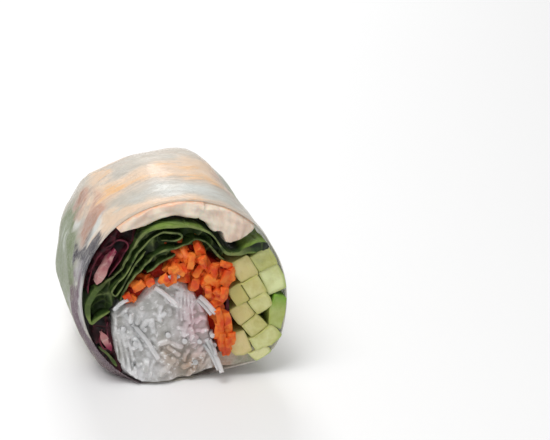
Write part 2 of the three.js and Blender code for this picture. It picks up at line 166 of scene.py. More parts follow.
# ---- meshes ----
def mesh_object(name, points, faces, material=None, uv=None, marks=None, edges=()):
    """A mesh from points in millimetres in the frame, with a UV pair and other marks for each point."""
    mesh = bpy.data.meshes.new(name)
    mesh.from_pydata((np.asarray(points) * MM).tolist(), list(edges), [tuple(f) for f in faces])
    piece = bpy.data.objects.new(name, mesh)
    bpy.context.scene.collection.objects.link(piece)
    if uv is not None:
        layer = mesh.uv_layers.new(name="surface")
        corners = np.zeros(len(mesh.loops), np.int32)
        mesh.loops.foreach_get("vertex_index", corners)
        layer.data.foreach_set("uv", np.asarray(uv, np.float32)[corners].ravel())
    for mark, values in (marks or {}).items():
        attribute = mesh.attributes.new(mark, "FLOAT", "POINT")
        attribute.data.foreach_set("value", np.asarray(values, np.float32).ravel())
    if material is not None:
        mesh.materials.append(material)
    mesh.polygons.foreach_set("use_smooth", [True] * len(mesh.polygons))
    return piece


def grid(rows, columns, round_about=False):
    """Four-sided faces between rows of points."""
    r, c = np.meshgrid(np.arange(rows - 1), np.arange(columns if round_about else columns - 1), indexing="ij")
    a, b = r * columns + c, r * columns + (c + 1) % columns
    return np.stack([a, b, b + columns, a + columns], -1).reshape(-1, 4).tolist()


def turned(faces, count=0):
    """The same faces, turned round, on points that come that many later."""
    return [tuple(corner + count for corner in reversed(face)) for face in faces]


def fan(first, sides, middle):
    """Faces that close a ring of points with one in its middle."""
    return [(first + i, first + (i + 1) % sides, middle) for i in range(sides)]


def closed_loft(layers):
    """Points and faces of a closed body through rings of as many points each."""
    count, sides = len(layers) * len(layers[0]), len(layers[0])
    faces = grid(len(layers), sides, round_about=True) + turned(fan(0, sides, count))
    faces += fan(count - sides, sides, count + 1)
    return np.vstack([*layers, layers[0].mean(0)[None], layers[-1].mean(0)[None]]), faces


def open_shell(outer, inner):
    """Points and faces of a wall between two nets, open at their first ring and closed at the last."""
    rings, sides = outer.shape[:2]
    count = rings * sides
    skin = grid(rings, sides, round_about=True)
    faces = skin + turned(skin, count)
    faces += [(i, i + count, (i + 1) % sides + count, (i + 1) % sides) for i in range(sides)]
    faces += fan(count - sides, sides, 2 * count) + turned(fan(count - sides, sides, count + 1), count)
    points = [net.reshape(-1, 3) for net in (outer, inner)] + [net[-1].mean(0) for net in (outer, inner)]
    return np.vstack(points), faces


def slab(front, back):
    """Points and faces of a closed body between two grids of points."""
    rows, columns = front.shape[:2]
    count = rows * columns
    faces = grid(rows, columns)
    border = [*range(columns), *range(2 * columns - 1, count, columns)]
    border += [*range(count - 2, count - columns - 1, -1), *range(count - 2 * columns, 0, -columns)]
    rim = [(b, a, a + count, b + count) for a, b in zip(border, border[1:] + border[:1])]
    return np.vstack([front.reshape(-1, 3), back.reshape(-1, 3)]), faces + turned(faces, count) + rim


def evenly(points, count, endpoint=True):
    """Evenly spaced points on straight lines between the given ones, and the lines' whole length."""
    p = np.asarray(points, float)
    run = np.concatenate([[0], np.cumsum(np.linalg.norm(np.diff(p, axis=0), axis=1))])
    even = np.linspace(0, run[-1], count, endpoint=endpoint)
    return np.stack([np.interp(even, run, column) for column in p.T], -1), run[-1]


def spline(points, count=2):
    """Evenly spaced points on a smooth curve through the given ones, with its directions and length."""
    p = np.asarray(points, float)
    ends = np.vstack([2 * p[0] - p[1], p, 2 * p[-1] - p[-2]])
    t = np.linspace(0, 1, 16, endpoint=False)[:, None]
    parts = []
    for a, b, c, d in zip(ends, ends[1:], ends[2:], ends[3:]):
        curve = 2 * b + (c - a) * t + (2 * a - 5 * b + 4 * c - d) * t ** 2 + (3 * b - a - 3 * c + d) * t ** 3
        parts.append(curve / 2)
    line, length = evenly(np.vstack(parts + [p[-1:]]), count)
    return line, np.gradient(line, axis=0), length


def inside(outline, x, z):
    """Whether points lie inside a closed outline."""
    hit = np.zeros(np.shape(x), bool)
    for (x1, z1), (x2, z2) in zip(outline, outline[1:] + outline[:1]):
        crosses = (z1 > z) != (z2 > z)
        hit ^= crosses & (x < (x2 - x1) * (z - z1) / ((z2 - z1) or 1e-9) + x1)
    return hit


def outward_faces(piece):
    """Turns a closed piece's faces outwards."""
    mesh = piece.data
    co = np.zeros(len(mesh.vertices) * 3)
    mesh.vertices.foreach_get("co", co)
    mesh.calc_loop_triangles()
    corners = np.zeros(len(mesh.loop_triangles) * 3, np.int32)
    mesh.loop_triangles.foreach_get("vertices", corners)
    a, b, c = np.moveaxis(co.reshape(-1, 3)[corners.reshape(-1, 3)], 1, 0)
    if (a * np.cross(b, c)).sum() < 0:
        mesh.flip_normals()
    return piece


def sharpened(piece, degrees=35):
    """Smooth shading but for edges sharper than this."""
    piece.data.polygons.foreach_set("use_smooth", [True] * len(piece.data.polygons))
    piece.data.set_sharp_from_angle(angle=math.radians(degrees))
    return piece


def finished(piece):
    """The piece with its modifiers applied, as a plain mesh."""
    bpy.context.view_layer.update()
    evaluated = piece.evaluated_get(bpy.context.evaluated_depsgraph_get())
    mesh = bpy.data.meshes.new_from_object(evaluated)
    piece.modifiers.clear()
    old, piece.data = piece.data, mesh
    bpy.data.meshes.remove(old)
    mesh.name = piece.name
    return piece


def joined(name, *pieces):
    """One object from several plain ones."""
    bpy.ops.object.select_all(action="DESELECT")
    for piece in pieces:
        piece.select_set(True)
    bpy.context.view_layer.objects.active = pieces[0]
    bpy.ops.object.join()
    pieces[0].name = pieces[0].data.name = name
    return pieces[0]


def serve(piece, slot, *nodes):
    """Makes the piece ride on the roll and stand for the nodes, whose own parts it hides; the slot is not
    used.
    """
    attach(piece, "root")
    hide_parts(*nodes)


# ---- materials ----
class Socket:
    """A node's output, on which plain arithmetic adds Math nodes."""

    def __init__(self, nodes, link):
        self.nodes, self.link = nodes, link

    def _maths(self, operation, *values):
        return self.nodes.node("ShaderNodeMath", dict(enumerate(values)), operation=operation)

    def __add__(self, other):
        return self._maths("ADD", self, other)

    def __sub__(self, other):
        return self._maths("SUBTRACT", self, other)

    def __rsub__(self, other):
        return self._maths("SUBTRACT", other, self)

    def __mul__(self, other):
        return self._maths("MULTIPLY", self, other)

    __radd__, __rmul__ = __add__, __mul__


class Nodes:
    """A node tree, with one method that adds any node."""

    def __init__(self, tree):
        self.tree = tree

    def plug(self, socket, value):
        if isinstance(value, Socket):
            self.tree.links.new(value.link, socket)
        elif isinstance(value, tuple) and len(value) == 3 and socket.type == "RGBA":
            socket.default_value = (*value, 1)
        else:
            socket.default_value = value

    def node(self, kind, inputs=None, output=0, **settings):
        """An output of a new node, whose settings are made first and then its values and links."""
        made = self.tree.nodes.new(kind)
        for name, value in settings.items():
            setattr(made, name, value)
        for name, value in (inputs or {}).items():
            self.plug(made.inputs[name], value)
        return Socket(self, made.outputs[output])


class Finish(Nodes):
    """A material with one Principled shader."""

    def __init__(self, name, **constants):
        self.material = bpy.data.materials.new(name)
        self.material.use_nodes = True
        super().__init__(self.material.node_tree)
        self.tree.nodes.clear()
        self.shader = self.tree.nodes.new("ShaderNodeBsdfPrincipled")
        output = self.tree.nodes.new("ShaderNodeOutputMaterial")
        self.tree.links.new(self.shader.outputs[0], output.inputs[0])
        self.set({key.replace("_", " "): value for key, value in constants.items()})

    def set(self, values):
        for name, value in values.items():
            self.plug(self.shader.inputs[name], value)
        return self.material

    def where(self, surface=False, stretch=(1, 1, 1), turn=(0, 0, 0)):
        """Object or UV coordinates, stretched and turned."""
        source = self.node("ShaderNodeTexCoord", output="UV" if surface else "Object")
        return self.node("ShaderNodeMapping", {"Vector": source, "Scale": stretch, "Rotation": turn})

    def noise(self, at, scale, detail=3.0, roughness=0.5, distortion=0.0):
        inputs = {"Vector": at, "Scale": scale, "Detail": detail, "Roughness": roughness}
        return self.node("ShaderNodeTexNoise", {**inputs, "Distortion": distortion})

    def mark(self, name):
        return self.node("ShaderNodeAttribute", output="Fac", attribute_name=name)

    def fade(self, value, low, high, start=0.0, end=1.0):
        """Start where the value is low, end where it is high, and smooth between."""
        inputs = {"Value": value, "From Min": low, "From Max": high, "To Min": start, "To Max": end}
        return self.node("ShaderNodeMapRange", inputs, interpolation_type="SMOOTHSTEP")

    def mix(self, mask, first, second):
        """The first colour where the mask is 0, the second where it is 1."""
        return self.node("ShaderNodeMix", {0: mask, 6: first, 7: second}, output=2, data_type="RGBA")

    def tinted(self, colour, *layers):
        """The colour with tints over it, each as strong as it says where the mark it names is 1."""
        for name, strength, tint in layers:
            colour = self.mix(self.mark(name) * strength, colour, tint)
        return colour

    def bump(self, height, distance):
        return self.node("ShaderNodeBump", {"Height": height, "Distance": distance * MM, "Strength": 1.0})


# What shows through the wrapper, from the lowest layer up: the mark's name, the colour and its strength, how
# far the brush of the pattern reaches there, and how much less clear the wrapper is over it.
SHOWN_LAYERS = (
    ("cucumber", (0.58, 0.66, 0.38), 0.7, -1.2, 0),
    ("leaf", (0.21, 0.27, 0.13), 0.9, 0.7, 0.3),
    ("peach", (1.0, 0.74, 0.52), 0.85, 1.0, 0.25),
    ("brown", (0.52, 0.27, 0.19), 0.85, -1.0, 0.3),
    ("amber", (0.85, 0.46, 0.16), 0.75, 1.3, 0.2),
    ("lilac", (0.66, 0.62, 0.68), 0.85, 1.6, 0),
    # the wrapper's own milkiness, partly painted sheen and highlights where it catches the light
    ("milk", (0.71, 0.74, 0.71), 0.85, -0.8, 0.35),
    ("purple", (0.17, 0.08, 0.12), 0.85, 1.4, 0),
    ("violet", (0.055, 0.05, 0.07), 0.95, -1.5, 0.3),
)


def rice_paper_finish(dull=(0.83, 0.76, 0.64), bright=(0.97, 0.92, 0.84), crease_highlight=(0.93, 0.91, 0.88)):
    f = Finish("moist_rice_paper", IOR=1.4, Coat_Roughness=0.25, Coat_Weight=0.25)
    rounds = f.where(stretch=(1, 4.5, 1), turn=(0, 0, 0.15))
    slanting = f.where(stretch=(1, 3.5, 1), turn=(0.3, 0, -0.5))
    streaks = f.noise(rounds, 130, detail=6, roughness=0.65, distortion=0.8)
    slants = f.noise(slanting, 200, detail=4, roughness=0.6)
    cloud = f.noise(f.where(), 75, detail=4)
    crinkle = f.noise(f.where(stretch=(1, 2.5, 1), turn=(0.2, 0, 0.6)), 620, detail=3, distortion=0.6)
    # painted highlight: the thin crease lines are tinted near white; they also bump the surface
    creases = f.fade(f.node("ShaderNodeMath", {0: crinkle - 0.5}, operation="ABSOLUTE"), 0.0, 0.06, 1.0, 0.0)
    brush = (streaks - 0.5) * 1.5 + (slants - 0.5) * 0.9 + (cloud - 0.5) * 0.8 + (crinkle - 0.5) * 0.3
    colour = f.mix(f.fade(streaks + cloud * 0.4, 0.5, 0.95), dull, bright)
    alpha = 0.42 + cloud * 0.2
    for name, tint, strength, reach, cover in SHOWN_LAYERS:
        mark = f.mark(name)
        seen = f.fade(mark + brush * f.fade(mark, 0.02, 0.3, 0.0, reach), 0.1, 0.95)
        colour = f.mix(seen * strength, colour, tint)
        if cover:
            alpha = alpha + seen * cover
    return f.set({
        "Base Color": f.mix(creases * 0.2, colour, crease_highlight),
        "Alpha": alpha,
        "Roughness": 0.32 + slants * 0.25,
        "Normal": f.bump(streaks * 0.5 + slants * 0.3 + creases * 0.1, 0.6),
    })


def shrimp_finish(
        dull=(0.78, 0.60, 0.48), pale=(0.92, 0.80, 0.66), rosy=(0.90, 0.48, 0.28), cooked=(0.90, 0.46, 0.20)):
    f = Finish("cooked_shrimp", IOR=1.4, Coat_Roughness=0.15, Coat_Weight=0.3, Subsurface_Weight=0.25,
               Subsurface_Radius=(0.9, 0.45, 0.25), Subsurface_Scale=1.2 * MM)
    blotch = f.noise(f.where(), 260, detail=3)
    fine = f.noise(f.where(), 800, detail=4, roughness=0.6)
    outer, joint = f.mark("outer"), f.mark("joint")
    orange = f.fade(outer * (0.5 + joint * 0.5) + (blotch - 0.5) * 1.1 + (fine - 0.5) * 0.8, 0.7, 1.3)
    flesh = f.mix(f.fade(blotch, 0.35, 0.65), dull, pale)
    blushed = f.mix(f.fade(fine + outer * 0.3, 0.45, 0.85) * outer * 0.8, flesh, rosy)
    return f.set({
        "Base Color": f.mix(orange * 0.8, blushed, cooked),
        "Roughness": 0.25 + blotch * 0.25,
        "Normal": f.bump(fine * 0.6 + blotch * 0.4, 0.35),
    })


# the fresh colour is painted light on lettuce's lit top faces, and fresh radicchio's own magenta
def leaf_finish(name, face, deep, edge, vein, vein_share, gloss=0.1, fresh=(0.16, 0.25, 0.04)):
    f = Finish(name, IOR=1.35, Coat_Roughness=0.3, Coat_Weight=gloss)
    on = f.where(surface=True)
    wander = f.noise(on, 9.0, detail=3) * 0.12
    shift = f.node("ShaderNodeCombineXYZ", {"X": wander, "Y": wander})
    bent = f.node("ShaderNodeVectorMath", {0: on, 1: shift}, operation="ADD")
    cells = f.node("ShaderNodeTexVoronoi", {"Vector": bent, "Scale": 9.0}, feature="DISTANCE_TO_EDGE")
    veins = f.fade(cells, 0.0, 0.07, 1.0, 0.0)
    blotch = f.noise(f.where(), 300, detail=3)
    light_and_freshness = f.mark("fresh")
    # painted shade: the deep colour where the fresh mark falls below 0, and in random blotches
    shade = f.mix(f.fade(light_and_freshness, -0.8, 0.0) * f.fade(blotch, 0.35, 0.65), deep, face)
    veined = f.mix(veins * vein_share, f.mix(f.fade(light_and_freshness, 0.25, 0.95), shade, fresh), vein)
    bitten = f.fade(f.noise(f.where(), 420, detail=2), 0.3, 0.62, 0.12, 1.0)
    return f.set({
        "Base Color": f.mix(f.mark("cut") * bitten, veined, edge),
        "Roughness": 0.42 + blotch * 0.25,
        "Normal": f.bump(veins * -0.5 + blotch * 0.5, 0.25),
    })


def carrot_finish(
        orange=(0.86, 0.09, 0.012), bright=(1.0, 0.29, 0.045), red=(0.60, 0.03, 0.03),
        shade=(0.50, 0.026, 0.008)):
    f = Finish("raw_carrot", IOR=1.3, Coat_Roughness=0.2, Coat_Weight=0.06, Subsurface_Weight=0.15,
               Subsurface_Radius=(1.0, 0.25, 0.05), Subsurface_Scale=0.8 * MM)
    grain = f.noise(f.where(stretch=(1, 0.35, 1)), 900, detail=3)
    blotch = f.noise(f.where(), 420, detail=2)
    cloud = f.noise(f.where(), 260, detail=3)
    # the carrot's grain, and painted highlights: lighter spots in the bright colour
    flesh = f.mix(f.fade(blotch + grain * 0.4, 0.45, 0.85), orange, bright)
    # painted shade: cloudy spots turn to the red colour
    shade_spotted = f.mix(f.fade(cloud, 0.5, 0.62, 0.0, 0.6), flesh, red)
    return f.set({
        # the shade colour goes on at random per shred, and over the whole body behind the shreds as painted
        # shade
        "Base Color": f.tinted(shade_spotted, ("tone", 1.0, shade)),
        "Roughness": 0.42 + grain * 0.3,
        "Normal": f.bump(grain * 0.7 + blotch * 0.3, 0.35),
    })


def cucumber_finish(green=(0.50, 0.50, 0.14), pale=(0.82, 0.87, 0.48)):
    f = Finish("fresh_cucumber", IOR=1.35, Coat_Roughness=0.2, Coat_Weight=0.1, Subsurface_Weight=0.3,
               Subsurface_Radius=(0.8, 1.0, 0.4), Subsurface_Scale=1.2 * MM)
    cells = f.noise(f.where(), 1500, detail=2)
    cloud = f.noise(f.where(), 300, detail=4, roughness=0.6)
    flesh = f.mix(f.fade(f.mark("pale") + (cloud - 0.5) * 1.6, -0.2, 1.2), green, pale)
    return f.set({
        "Base Color": f.tinted(
            flesh,
            ("ripe", 0.8, (0.80, 0.60, 0.28)),
            # painted shade: the batons' sides and the rims of their cut ends darken, so the gaps between them
            # look dark
            ("side", 0.8, (0.42, 0.44, 0.12)),
            ("rind", 1.0, (0.17, 0.36, 0.03)),
        ),
        "Roughness": 0.32 + cells * 0.22,
        "Normal": f.bump(cells * 0.4 + cloud * 0.6, 0.3),
    })


def noodle_finish(name, clearness=0.0, whiteness=0.0, white=(0.92, 0.90, 0.92), glint=(0.92, 0.92, 0.92)):
    f = Finish(name, IOR=1.36, Coat_Roughness=0.1, Coat_Weight=0.35, Subsurface_Weight=0.9,
               Subsurface_Radius=(1.0, 0.95, 0.95), Subsurface_Scale=2.0 * MM, Alpha=1 - clearness)
    cloud = f.noise(f.where(), 300, detail=4, roughness=0.6)
    fine = f.noise(f.where(), 900, detail=3, roughness=0.6)
    starch = f.mix(f.fade(cloud, 0.38, 0.62), (0.50, 0.50, 0.49), (0.76, 0.76, 0.77))
    toned = f.tinted(
        starch,
        # a brownish tint, partly painted shade in a hollow low in the middle
        ("warm", 0.9, (0.44, 0.34, 0.25)),
        ("violet", 0.8, (0.70, 0.48, 0.52)),
        # painted shade in the bundle's hollows, and random darkening on the front strands
        ("tone", 0.6, (0.35, 0.33, 0.27)),
    )
    return f.set({
        "Base Color": f.mix(f.fade(fine + cloud * 0.3, 0.7, 0.92), f.mix(whiteness, toned, white), glint),
        "Roughness": 0.12 + fine * 0.2,
        "Normal": f.bump(fine * 0.4 + cloud * 0.6, 0.35),
    })


def floor_finish():
    f = Finish("pale_floor", Roughness=0.6)
    return f.set({"Base Color": f.mix(f.noise(f.where(), 3.0), (0.90, 0.90, 0.90), (0.92, 0.92, 0.92))})


RICE_PAPER = rice_paper_finish()
SHRIMP = shrimp_finish()
LETTUCE = leaf_finish(
    "lettuce", face=(0.032, 0.066, 0.011), deep=(0.006, 0.013, 0.003), edge=(0.26, 0.32, 0.10),
    vein=(0.09, 0.14, 0.03), vein_share=0.4)
RADICCHIO = leaf_finish(
    "radicchio", face=(0.032, 0.0015, 0.005), deep=(0.002, 0.001, 0.001), edge=(0.20, 0.025, 0.05),
    vein=(0.13, 0.008, 0.022), vein_share=0.35, gloss=0.03, fresh=(0.17, 0.008, 0.045))
RIB = leaf_finish(
    "radicchio_rib", face=(0.60, 0.34, 0.31), deep=(0.46, 0.19, 0.19), edge=(0.22, 0.012, 0.05),
    vein=(0.66, 0.46, 0.42), vein_share=0.5)
CARROT = carrot_finish()
CUCUMBER = cucumber_finish()
NOODLE = noodle_finish("rice_noodle")
CLEAR_NOODLE = noodle_finish("clear_rice_noodle", clearness=0.25, whiteness=0.85)
FLOOR = floor_finish()


# ---- crumpled leaf and film: outer and inner border across the cut, then how deep behind the cut
# it lies, and the height and pitch of its folds ----
BEDS = {
    "lettuce_3": (
        (
            (-22.2, 18), (-22.3, 20.5), (-21.6, 23.4), (-20, 25.2), (-17.8, 27), (-15.6, 29.4),
            (-13.6, 32.4), (-11.8, 35.6), (-9.6, 38.2), (-6.6, 40.1), (-2, 40.9), (2.4, 40), (5.6, 37.7),
            (7.8, 35.2), (9.8, 32.8),
        ),
        (
            (-18.2, 19.2), (-17.4, 20.8), (-16.4, 22.4), (-15.2, 24.2), (-13.6, 26.2), (-11.8, 28),
            (-9.4, 29.2), (-6.6, 30.2), (-3.6, 31.6), (-2, 32.8), (-0.6, 34.6), (2, 35.2), (4.6, 34),
            (8.4, 31.2),
        ),
        2.4, 1.3, 1.5,
    ),
    "radicchio_1": (
        ((-23.7, 25.2), (-23.2, 28.4), (-21.4, 32.4), (-18.7, 36.4), (-15.9, 39.4), (-12.4, 41.6)),
        ((-21.6, 25.9), (-18.9, 27.5), (-16.5, 29.8), (-14.5, 32.9), (-12.6, 36.2), (-10.6, 38.9)),
        2.2, 1.3, 1.4,
    ),
    "radicchio_3": (
        ((-22.2, 17.4), (-22.2, 12.6), (-20.7, 8.4), (-18.4, 5.2), (-16, 3)),
        ((-18.3, 18.2), (-18, 13.6), (-17.5, 9.6), (-16.6, 6.4), (-15, 3.8)),
        1.2, 1.1, 1.2,
    ),
}
# the wrapper's own crumpled end, in the gap under the carrot and the cucumber
CRUMPLED_FILM = (
    ((7, 0.4), (10, 0.7), (12.5, 1.6), (15, 3.1), (17.3, 5.2)),
    ((7.4, 4.2), (9.2, 5.4), (11.2, 6), (13.4, 7), (15.4, 8.6)),
    0.5, 0.25, 1.6,
)
BED_LENGTH = 9
UV_SPAN = 50  # millimetres to one unit of a leaf's surface map
FRESH_RADICCHIO = ((-17.5, 3), (32.5, 4))  # where the torn radicchio is fresh: x and z, each with its spread


def make_crumple(slot, outer, inner, recess, height, pitch, rows=34):
    """A body with a crumpled front, as deep behind the cut and as high and coarse as it says."""
    columns = int(spline(outer)[2] * 5)
    borders = [spline(border, columns)[0] for border in (outer, inner)]
    share = np.linspace(0, 1, rows)[:, None]
    x, z = (borders[0][None, :, k] * (1 - share) + borders[1][None, :, k] * share for k in (0, 1))
    ridge = 1 - np.abs(uneven(31, x / pitch, z / pitch))
    fine = uneven(32, x / pitch * 2.6, z / pitch * 2.6)
    front = place(x, z, recess - height * np.clip(ridge, -0.5, 1) + 0.2 * fine)
    points, faces = slab(front, place(x, z, recess + BED_LENGTH))
    material = {"lettuce": LETTUCE, "radicchio": RADICCHIO, "rice_paper": RICE_PAPER}[slot]
    (at_x, spread_x), (at_z, spread_z) = FRESH_RADICCHIO
    fresh = bell(x - at_x, spread_x) * bell(z - at_z, spread_z) * (0.6 + 0.6 * fine) * (slot == "radicchio")
    # painted highlight: the ridge crests are tinted in the leaf's pale cut-edge colour
    cut = np.clip(ridge, 0, 1) ** 8 * (0.7 if slot == "lettuce" else 0.25)
    marks = {"cut": np.tile(cut, (2, 1)), "fresh": np.tile(fresh, (2, 1))}
    if slot == "rice_paper":
        marks = {name: np.full(len(points), 0.5) for name in ("leaf", "brown")}
    uv = np.tile(np.stack([x, z], -1).reshape(-1, 2), (2, 1)) / UV_SPAN
    return outward_faces(mesh_object("crumple", points, faces, material, uv, marks))


# ---- rice paper ----
RIM_WALL, WALL = 0.18, 0.32
FLATS, FLATNESS = 11, 0.6  # the wrapper lies flat between ridges that run along the roll
RIDGE, RIDGE_WANDER = 3.5, 5  # how rounded those ridges are and how far they wander, in degrees
HUG_START, HUG_END, HUG = -65, 36, 0.6  # from and to which angle the rim hugs the cucumber, and how closely
SLACK = 0.35  # how far the wrapper stands off behind its rim
WRINKLE, CREASE, GATHER = 0.13, 0.16, 0.55  # heights of its wrinkles, creases and gathers at the end
# folds: angles where each starts and ends, how it leans back, its width and height
FOLDS = (
    (208, 150, 0.3, 1, 0.5),
    (178, 124, 0.42, 0.9, 0.45),
    (235, 190, 0.2, 1.2, 0.5),
    (196, 140, 0.5, 0.8, 0.3),
)
FOLD_END = 14  # the degrees over which a fold fades out
RIM_NOTCH = (-78, 11, 2.2)  # where the rim draws back under the roll: angle, spread, how far
# what shows through: angle and its spread, share of the length and its spread, strength
SHOWS = {
    # milky patches: the wrapper's own milkiness, partly painted sheen and highlights
    "milk": (
        (84, 26, 0.11, 0.055, 0.85), (94, 20, 0.47, 0.09, 0.35), (136, 9, 0.11, 0.03, 1.1),
        (182, 24, 0.02, 0.03, 0.6), (147, 8, 0.3, 0.06, 0.8), (166, 6, 0.42, 0.07, 0.5),
        (10, 50, 0.03, 0.04, 0.6), (131, 8, 0.07, 0.03, 0.6), (170, 10, 0.12, 0.03, 0.6),
    ),
    "peach": (
        (88, 32, 0.28, 0.09, 1.1), (72, 14, 0.38, 0.09, 0.9), (118, 12, 0.26, 0.08, 1.1),
        (124, 7, 0.5, 0.14, 0.9), (95, 38, 0.03, 0.03, 0.9), (124, 17, 0.065, 0.05, 0.9),
        (55, 8, 0.46, 0.08, 0.8), (108, 20, 0.7, 0.07, 0.8), (70, 14, 0.8, 0.09, 0.7),
        (318, 40, 0.5, 0.12, 0.9), (128, 8, 0.16, 0.07, 0.9), (140, 8, 0.42, 0.12, 0.7),
    ),
    "amber": (
        (112, 9, 0.26, 0.05, 0.9), (82, 20, 0.22, 0.03, 0.7), (88, 32, 0.01, 0.012, 0.6),
        (80, 8, 0.33, 0.05, 0.5), (120, 6, 0.55, 0.1, 0.5),
    ),
    "brown": (
        (138, 13, 0.19, 0.05, 1.5), (126, 14, 0.24, 0.06, 0.4), (143, 9, 0.42, 0.12, 0.9),
        (128, 7, 0.14, 0.05, 0.7), (126, 8, 0.33, 0.1, 0.6), (58, 8, 0.3, 0.2, 0.6),
        (288, 22, 0.1, 0.12, 0.5),
    ),
    "leaf": (
        (186, 20, 0.42, 0.18, 1.5), (168, 12, 0.36, 0.15, 1.1), (174, 9, 0.27, 0.06, 1.1),
        (192, 9, 0.5, 0.08, 1.2), (154, 8, 0.52, 0.1, 0.8), (185, 34, 0.4, 0.6, 0.6),
        (20, 30, 0.55, 0.2, 0.8), (150, 60, 0.92, 0.1, 0.6),
    ),
    "violet": (
        (155, 10, 0.045, 0.055, 1.7), (146, 6, 0.02, 0.03, 1.4), (140, 5, 0.05, 0.02, 1.4),
        (150, 7, 0.12, 0.035, 1.4), (162, 7, 0.165, 0.022, 1.6), (255, 30, 0.75, 0.1, 0.8),
    ),
    "lilac": (
        (168, 14, 0.03, 0.05, 0.8), (188, 16, 0.09, 0.06, 0.8), (206, 14, 0.16, 0.12, 0.8),
        (216, 12, 0.03, 0.05, 0.7), (160, 8, 0.09, 0.03, 0.7),
    ),
    "cucumber": (
        (8, 20, 0.22, 0.14, 0.9), (30, 12, 0.38, 0.2, 0.7), (-14, 18, 0.48, 0.16, 0.9),
        (22, 10, 0.62, 0.1, 0.6), (-42, 12, 0.25, 0.2, 0.7),
    ),
    "purple": (
        (186, 14, 0.11, 0.035, 1.5), (200, 14, 0.16, 0.06, 1.3), (172, 10, 0.06, 0.02, 0.9),
        (212, 14, 0.05, 0.08, 1.3), (226, 16, 0.13, 0.14, 1), (238, 12, 0.03, 0.06, 1.1),
        (352, 18, 0.72, 0.09, 0.9), (286, 20, 0.05, 0.08, 0.5),
    ),
}


def wrapper_lift(angle, depth):
    """How far the wrapper stands off its plain form."""
    turn, share = np.degrees(angle), depth / HALF_LENGTH

    def rucks(seed, across_pitch, depth_pitch):
        across = RADIUS * np.cos(angle) / across_pitch, RADIUS * np.sin(angle) / across_pitch
        return uneven(seed, *across, depth / depth_pitch)

    pitch = 360 / FLATS
    wander = RIDGE_WANDER * rucks(1, 12, 12)
    off = np.abs((turn + wander * smooth(0.1, 0.4, share)) % pitch - pitch / 2)
    off = pitch / 2 - np.hypot(pitch / 2 - off, RIDGE) + RIDGE
    chord = RADIUS * (math.cos(math.radians(pitch / 2)) / np.cos(np.radians(off)) - 1)
    flats = (FLATNESS * chord + SLACK) * smooth(0.02, 0.25, share)
    wrinkles = WRINKLE * rucks(3, 5, 0.8) + CREASE * np.clip(1 - np.abs(rucks(2, 4, 0.55)), 0, 1) ** 5
    gathers = np.clip(1 - np.abs(rucks(4, 3.5, 16)), 0, 1) ** 3
    gathered = GATHER * (gathers - 0.3) * smooth(0.55, 0.9, share)
    folds = 0
    for start, end, lean, width, size in FOLDS:
        spans = smooth(end - FOLD_END, end, turn % 360) * smooth(start + FOLD_END, start, turn % 360)
        ahead = (depth - 3 - lean * (start - turn % 360)) / width
        folds = folds + size * spans * np.exp(-ahead ** 2 * np.where(ahead < 0, 9, 1 / 3))
    return flats + (wrinkles + folds) * smooth(0, 0.03, share) + gathered


def shown_through(angle, depth):
    """Marks of what shows through the wrapper's two faces and their poles, with wandering borders."""
    spot = np.stack(np.broadcast_arrays(RADIUS * np.cos(angle), RADIUS * np.sin(angle), depth))
    drift = smooth(0, 6, depth)
    turn = np.degrees(angle) + drift * (5 * uneven(51, *spot / 5) + 5 * uneven(53, *spot / 1.6))
    share = depth / HALF_LENGTH + drift * (0.02 * uneven(52, *spot / 5) + 0.025 * uneven(54, *spot / 1.6))
    marks = {}
    for name, patches in SHOWS.items():
        seen = np.minimum(1, sum(strength * patch(turn, share, *where) for *where, strength in patches))
        marks[name] = np.concatenate([seen.ravel(), seen.ravel(), seen[-1, :1], seen[-1, :1]])
    return marks


def make_rice_paper(sides=300, rings=150):
    angle = corners_round(sides)[None, :]
    depth = ring_depths(rings, 0.497, 0.95)[:, None]
    turn = (np.degrees(angle) + 180) % 360 - 180
    hugging = smooth(HUG_START - 12, HUG_START + 8, turn) * smooth(HUG_END + 12, HUG_END - 8, turn)
    lift = wrapper_lift(angle, depth) - HUG * hugging * smooth(22, 8, depth)
    lift = lift * smooth(-0.98, -0.78, np.sin(angle)) * (1 - 0.6 * smooth(58, 63, depth))
    ragged = 0.35 * uneven(6, 5 * np.cos(angle), 5 * np.sin(angle)) + 0.5 * smooth(0.5, 0.8, np.sin(angle))
    middle, spread, drawn_back = RIM_NOTCH
    rim = (ragged + drawn_back * bell(turn - middle, spread)) * smooth(6, 0, depth)
    thickness = RIM_WALL + (WALL - RIM_WALL) * smooth(0, 4, depth)
    nets = []
    for wall in (0 * thickness, thickness):
        reach = np.minimum(depth, HALF_LENGTH - 2 * wall - 0.05)
        net = skin_points(angle, reach, wall - lift) + ORIGIN
        net[..., 1] += rim
        net[..., 2] = np.maximum(net[..., 2], wall)
        nets.append(net)
    points, faces = open_shell(*nets)
    piece = mesh_object("rice_paper_wrapper", points, faces, RICE_PAPER, None, shown_through(angle, depth))
    film = make_crumple("rice_paper", *CRUMPLED_FILM)
    serve(joined("rice_paper_wrapper", outward_faces(piece), film), "rice_paper", "rice_paper")


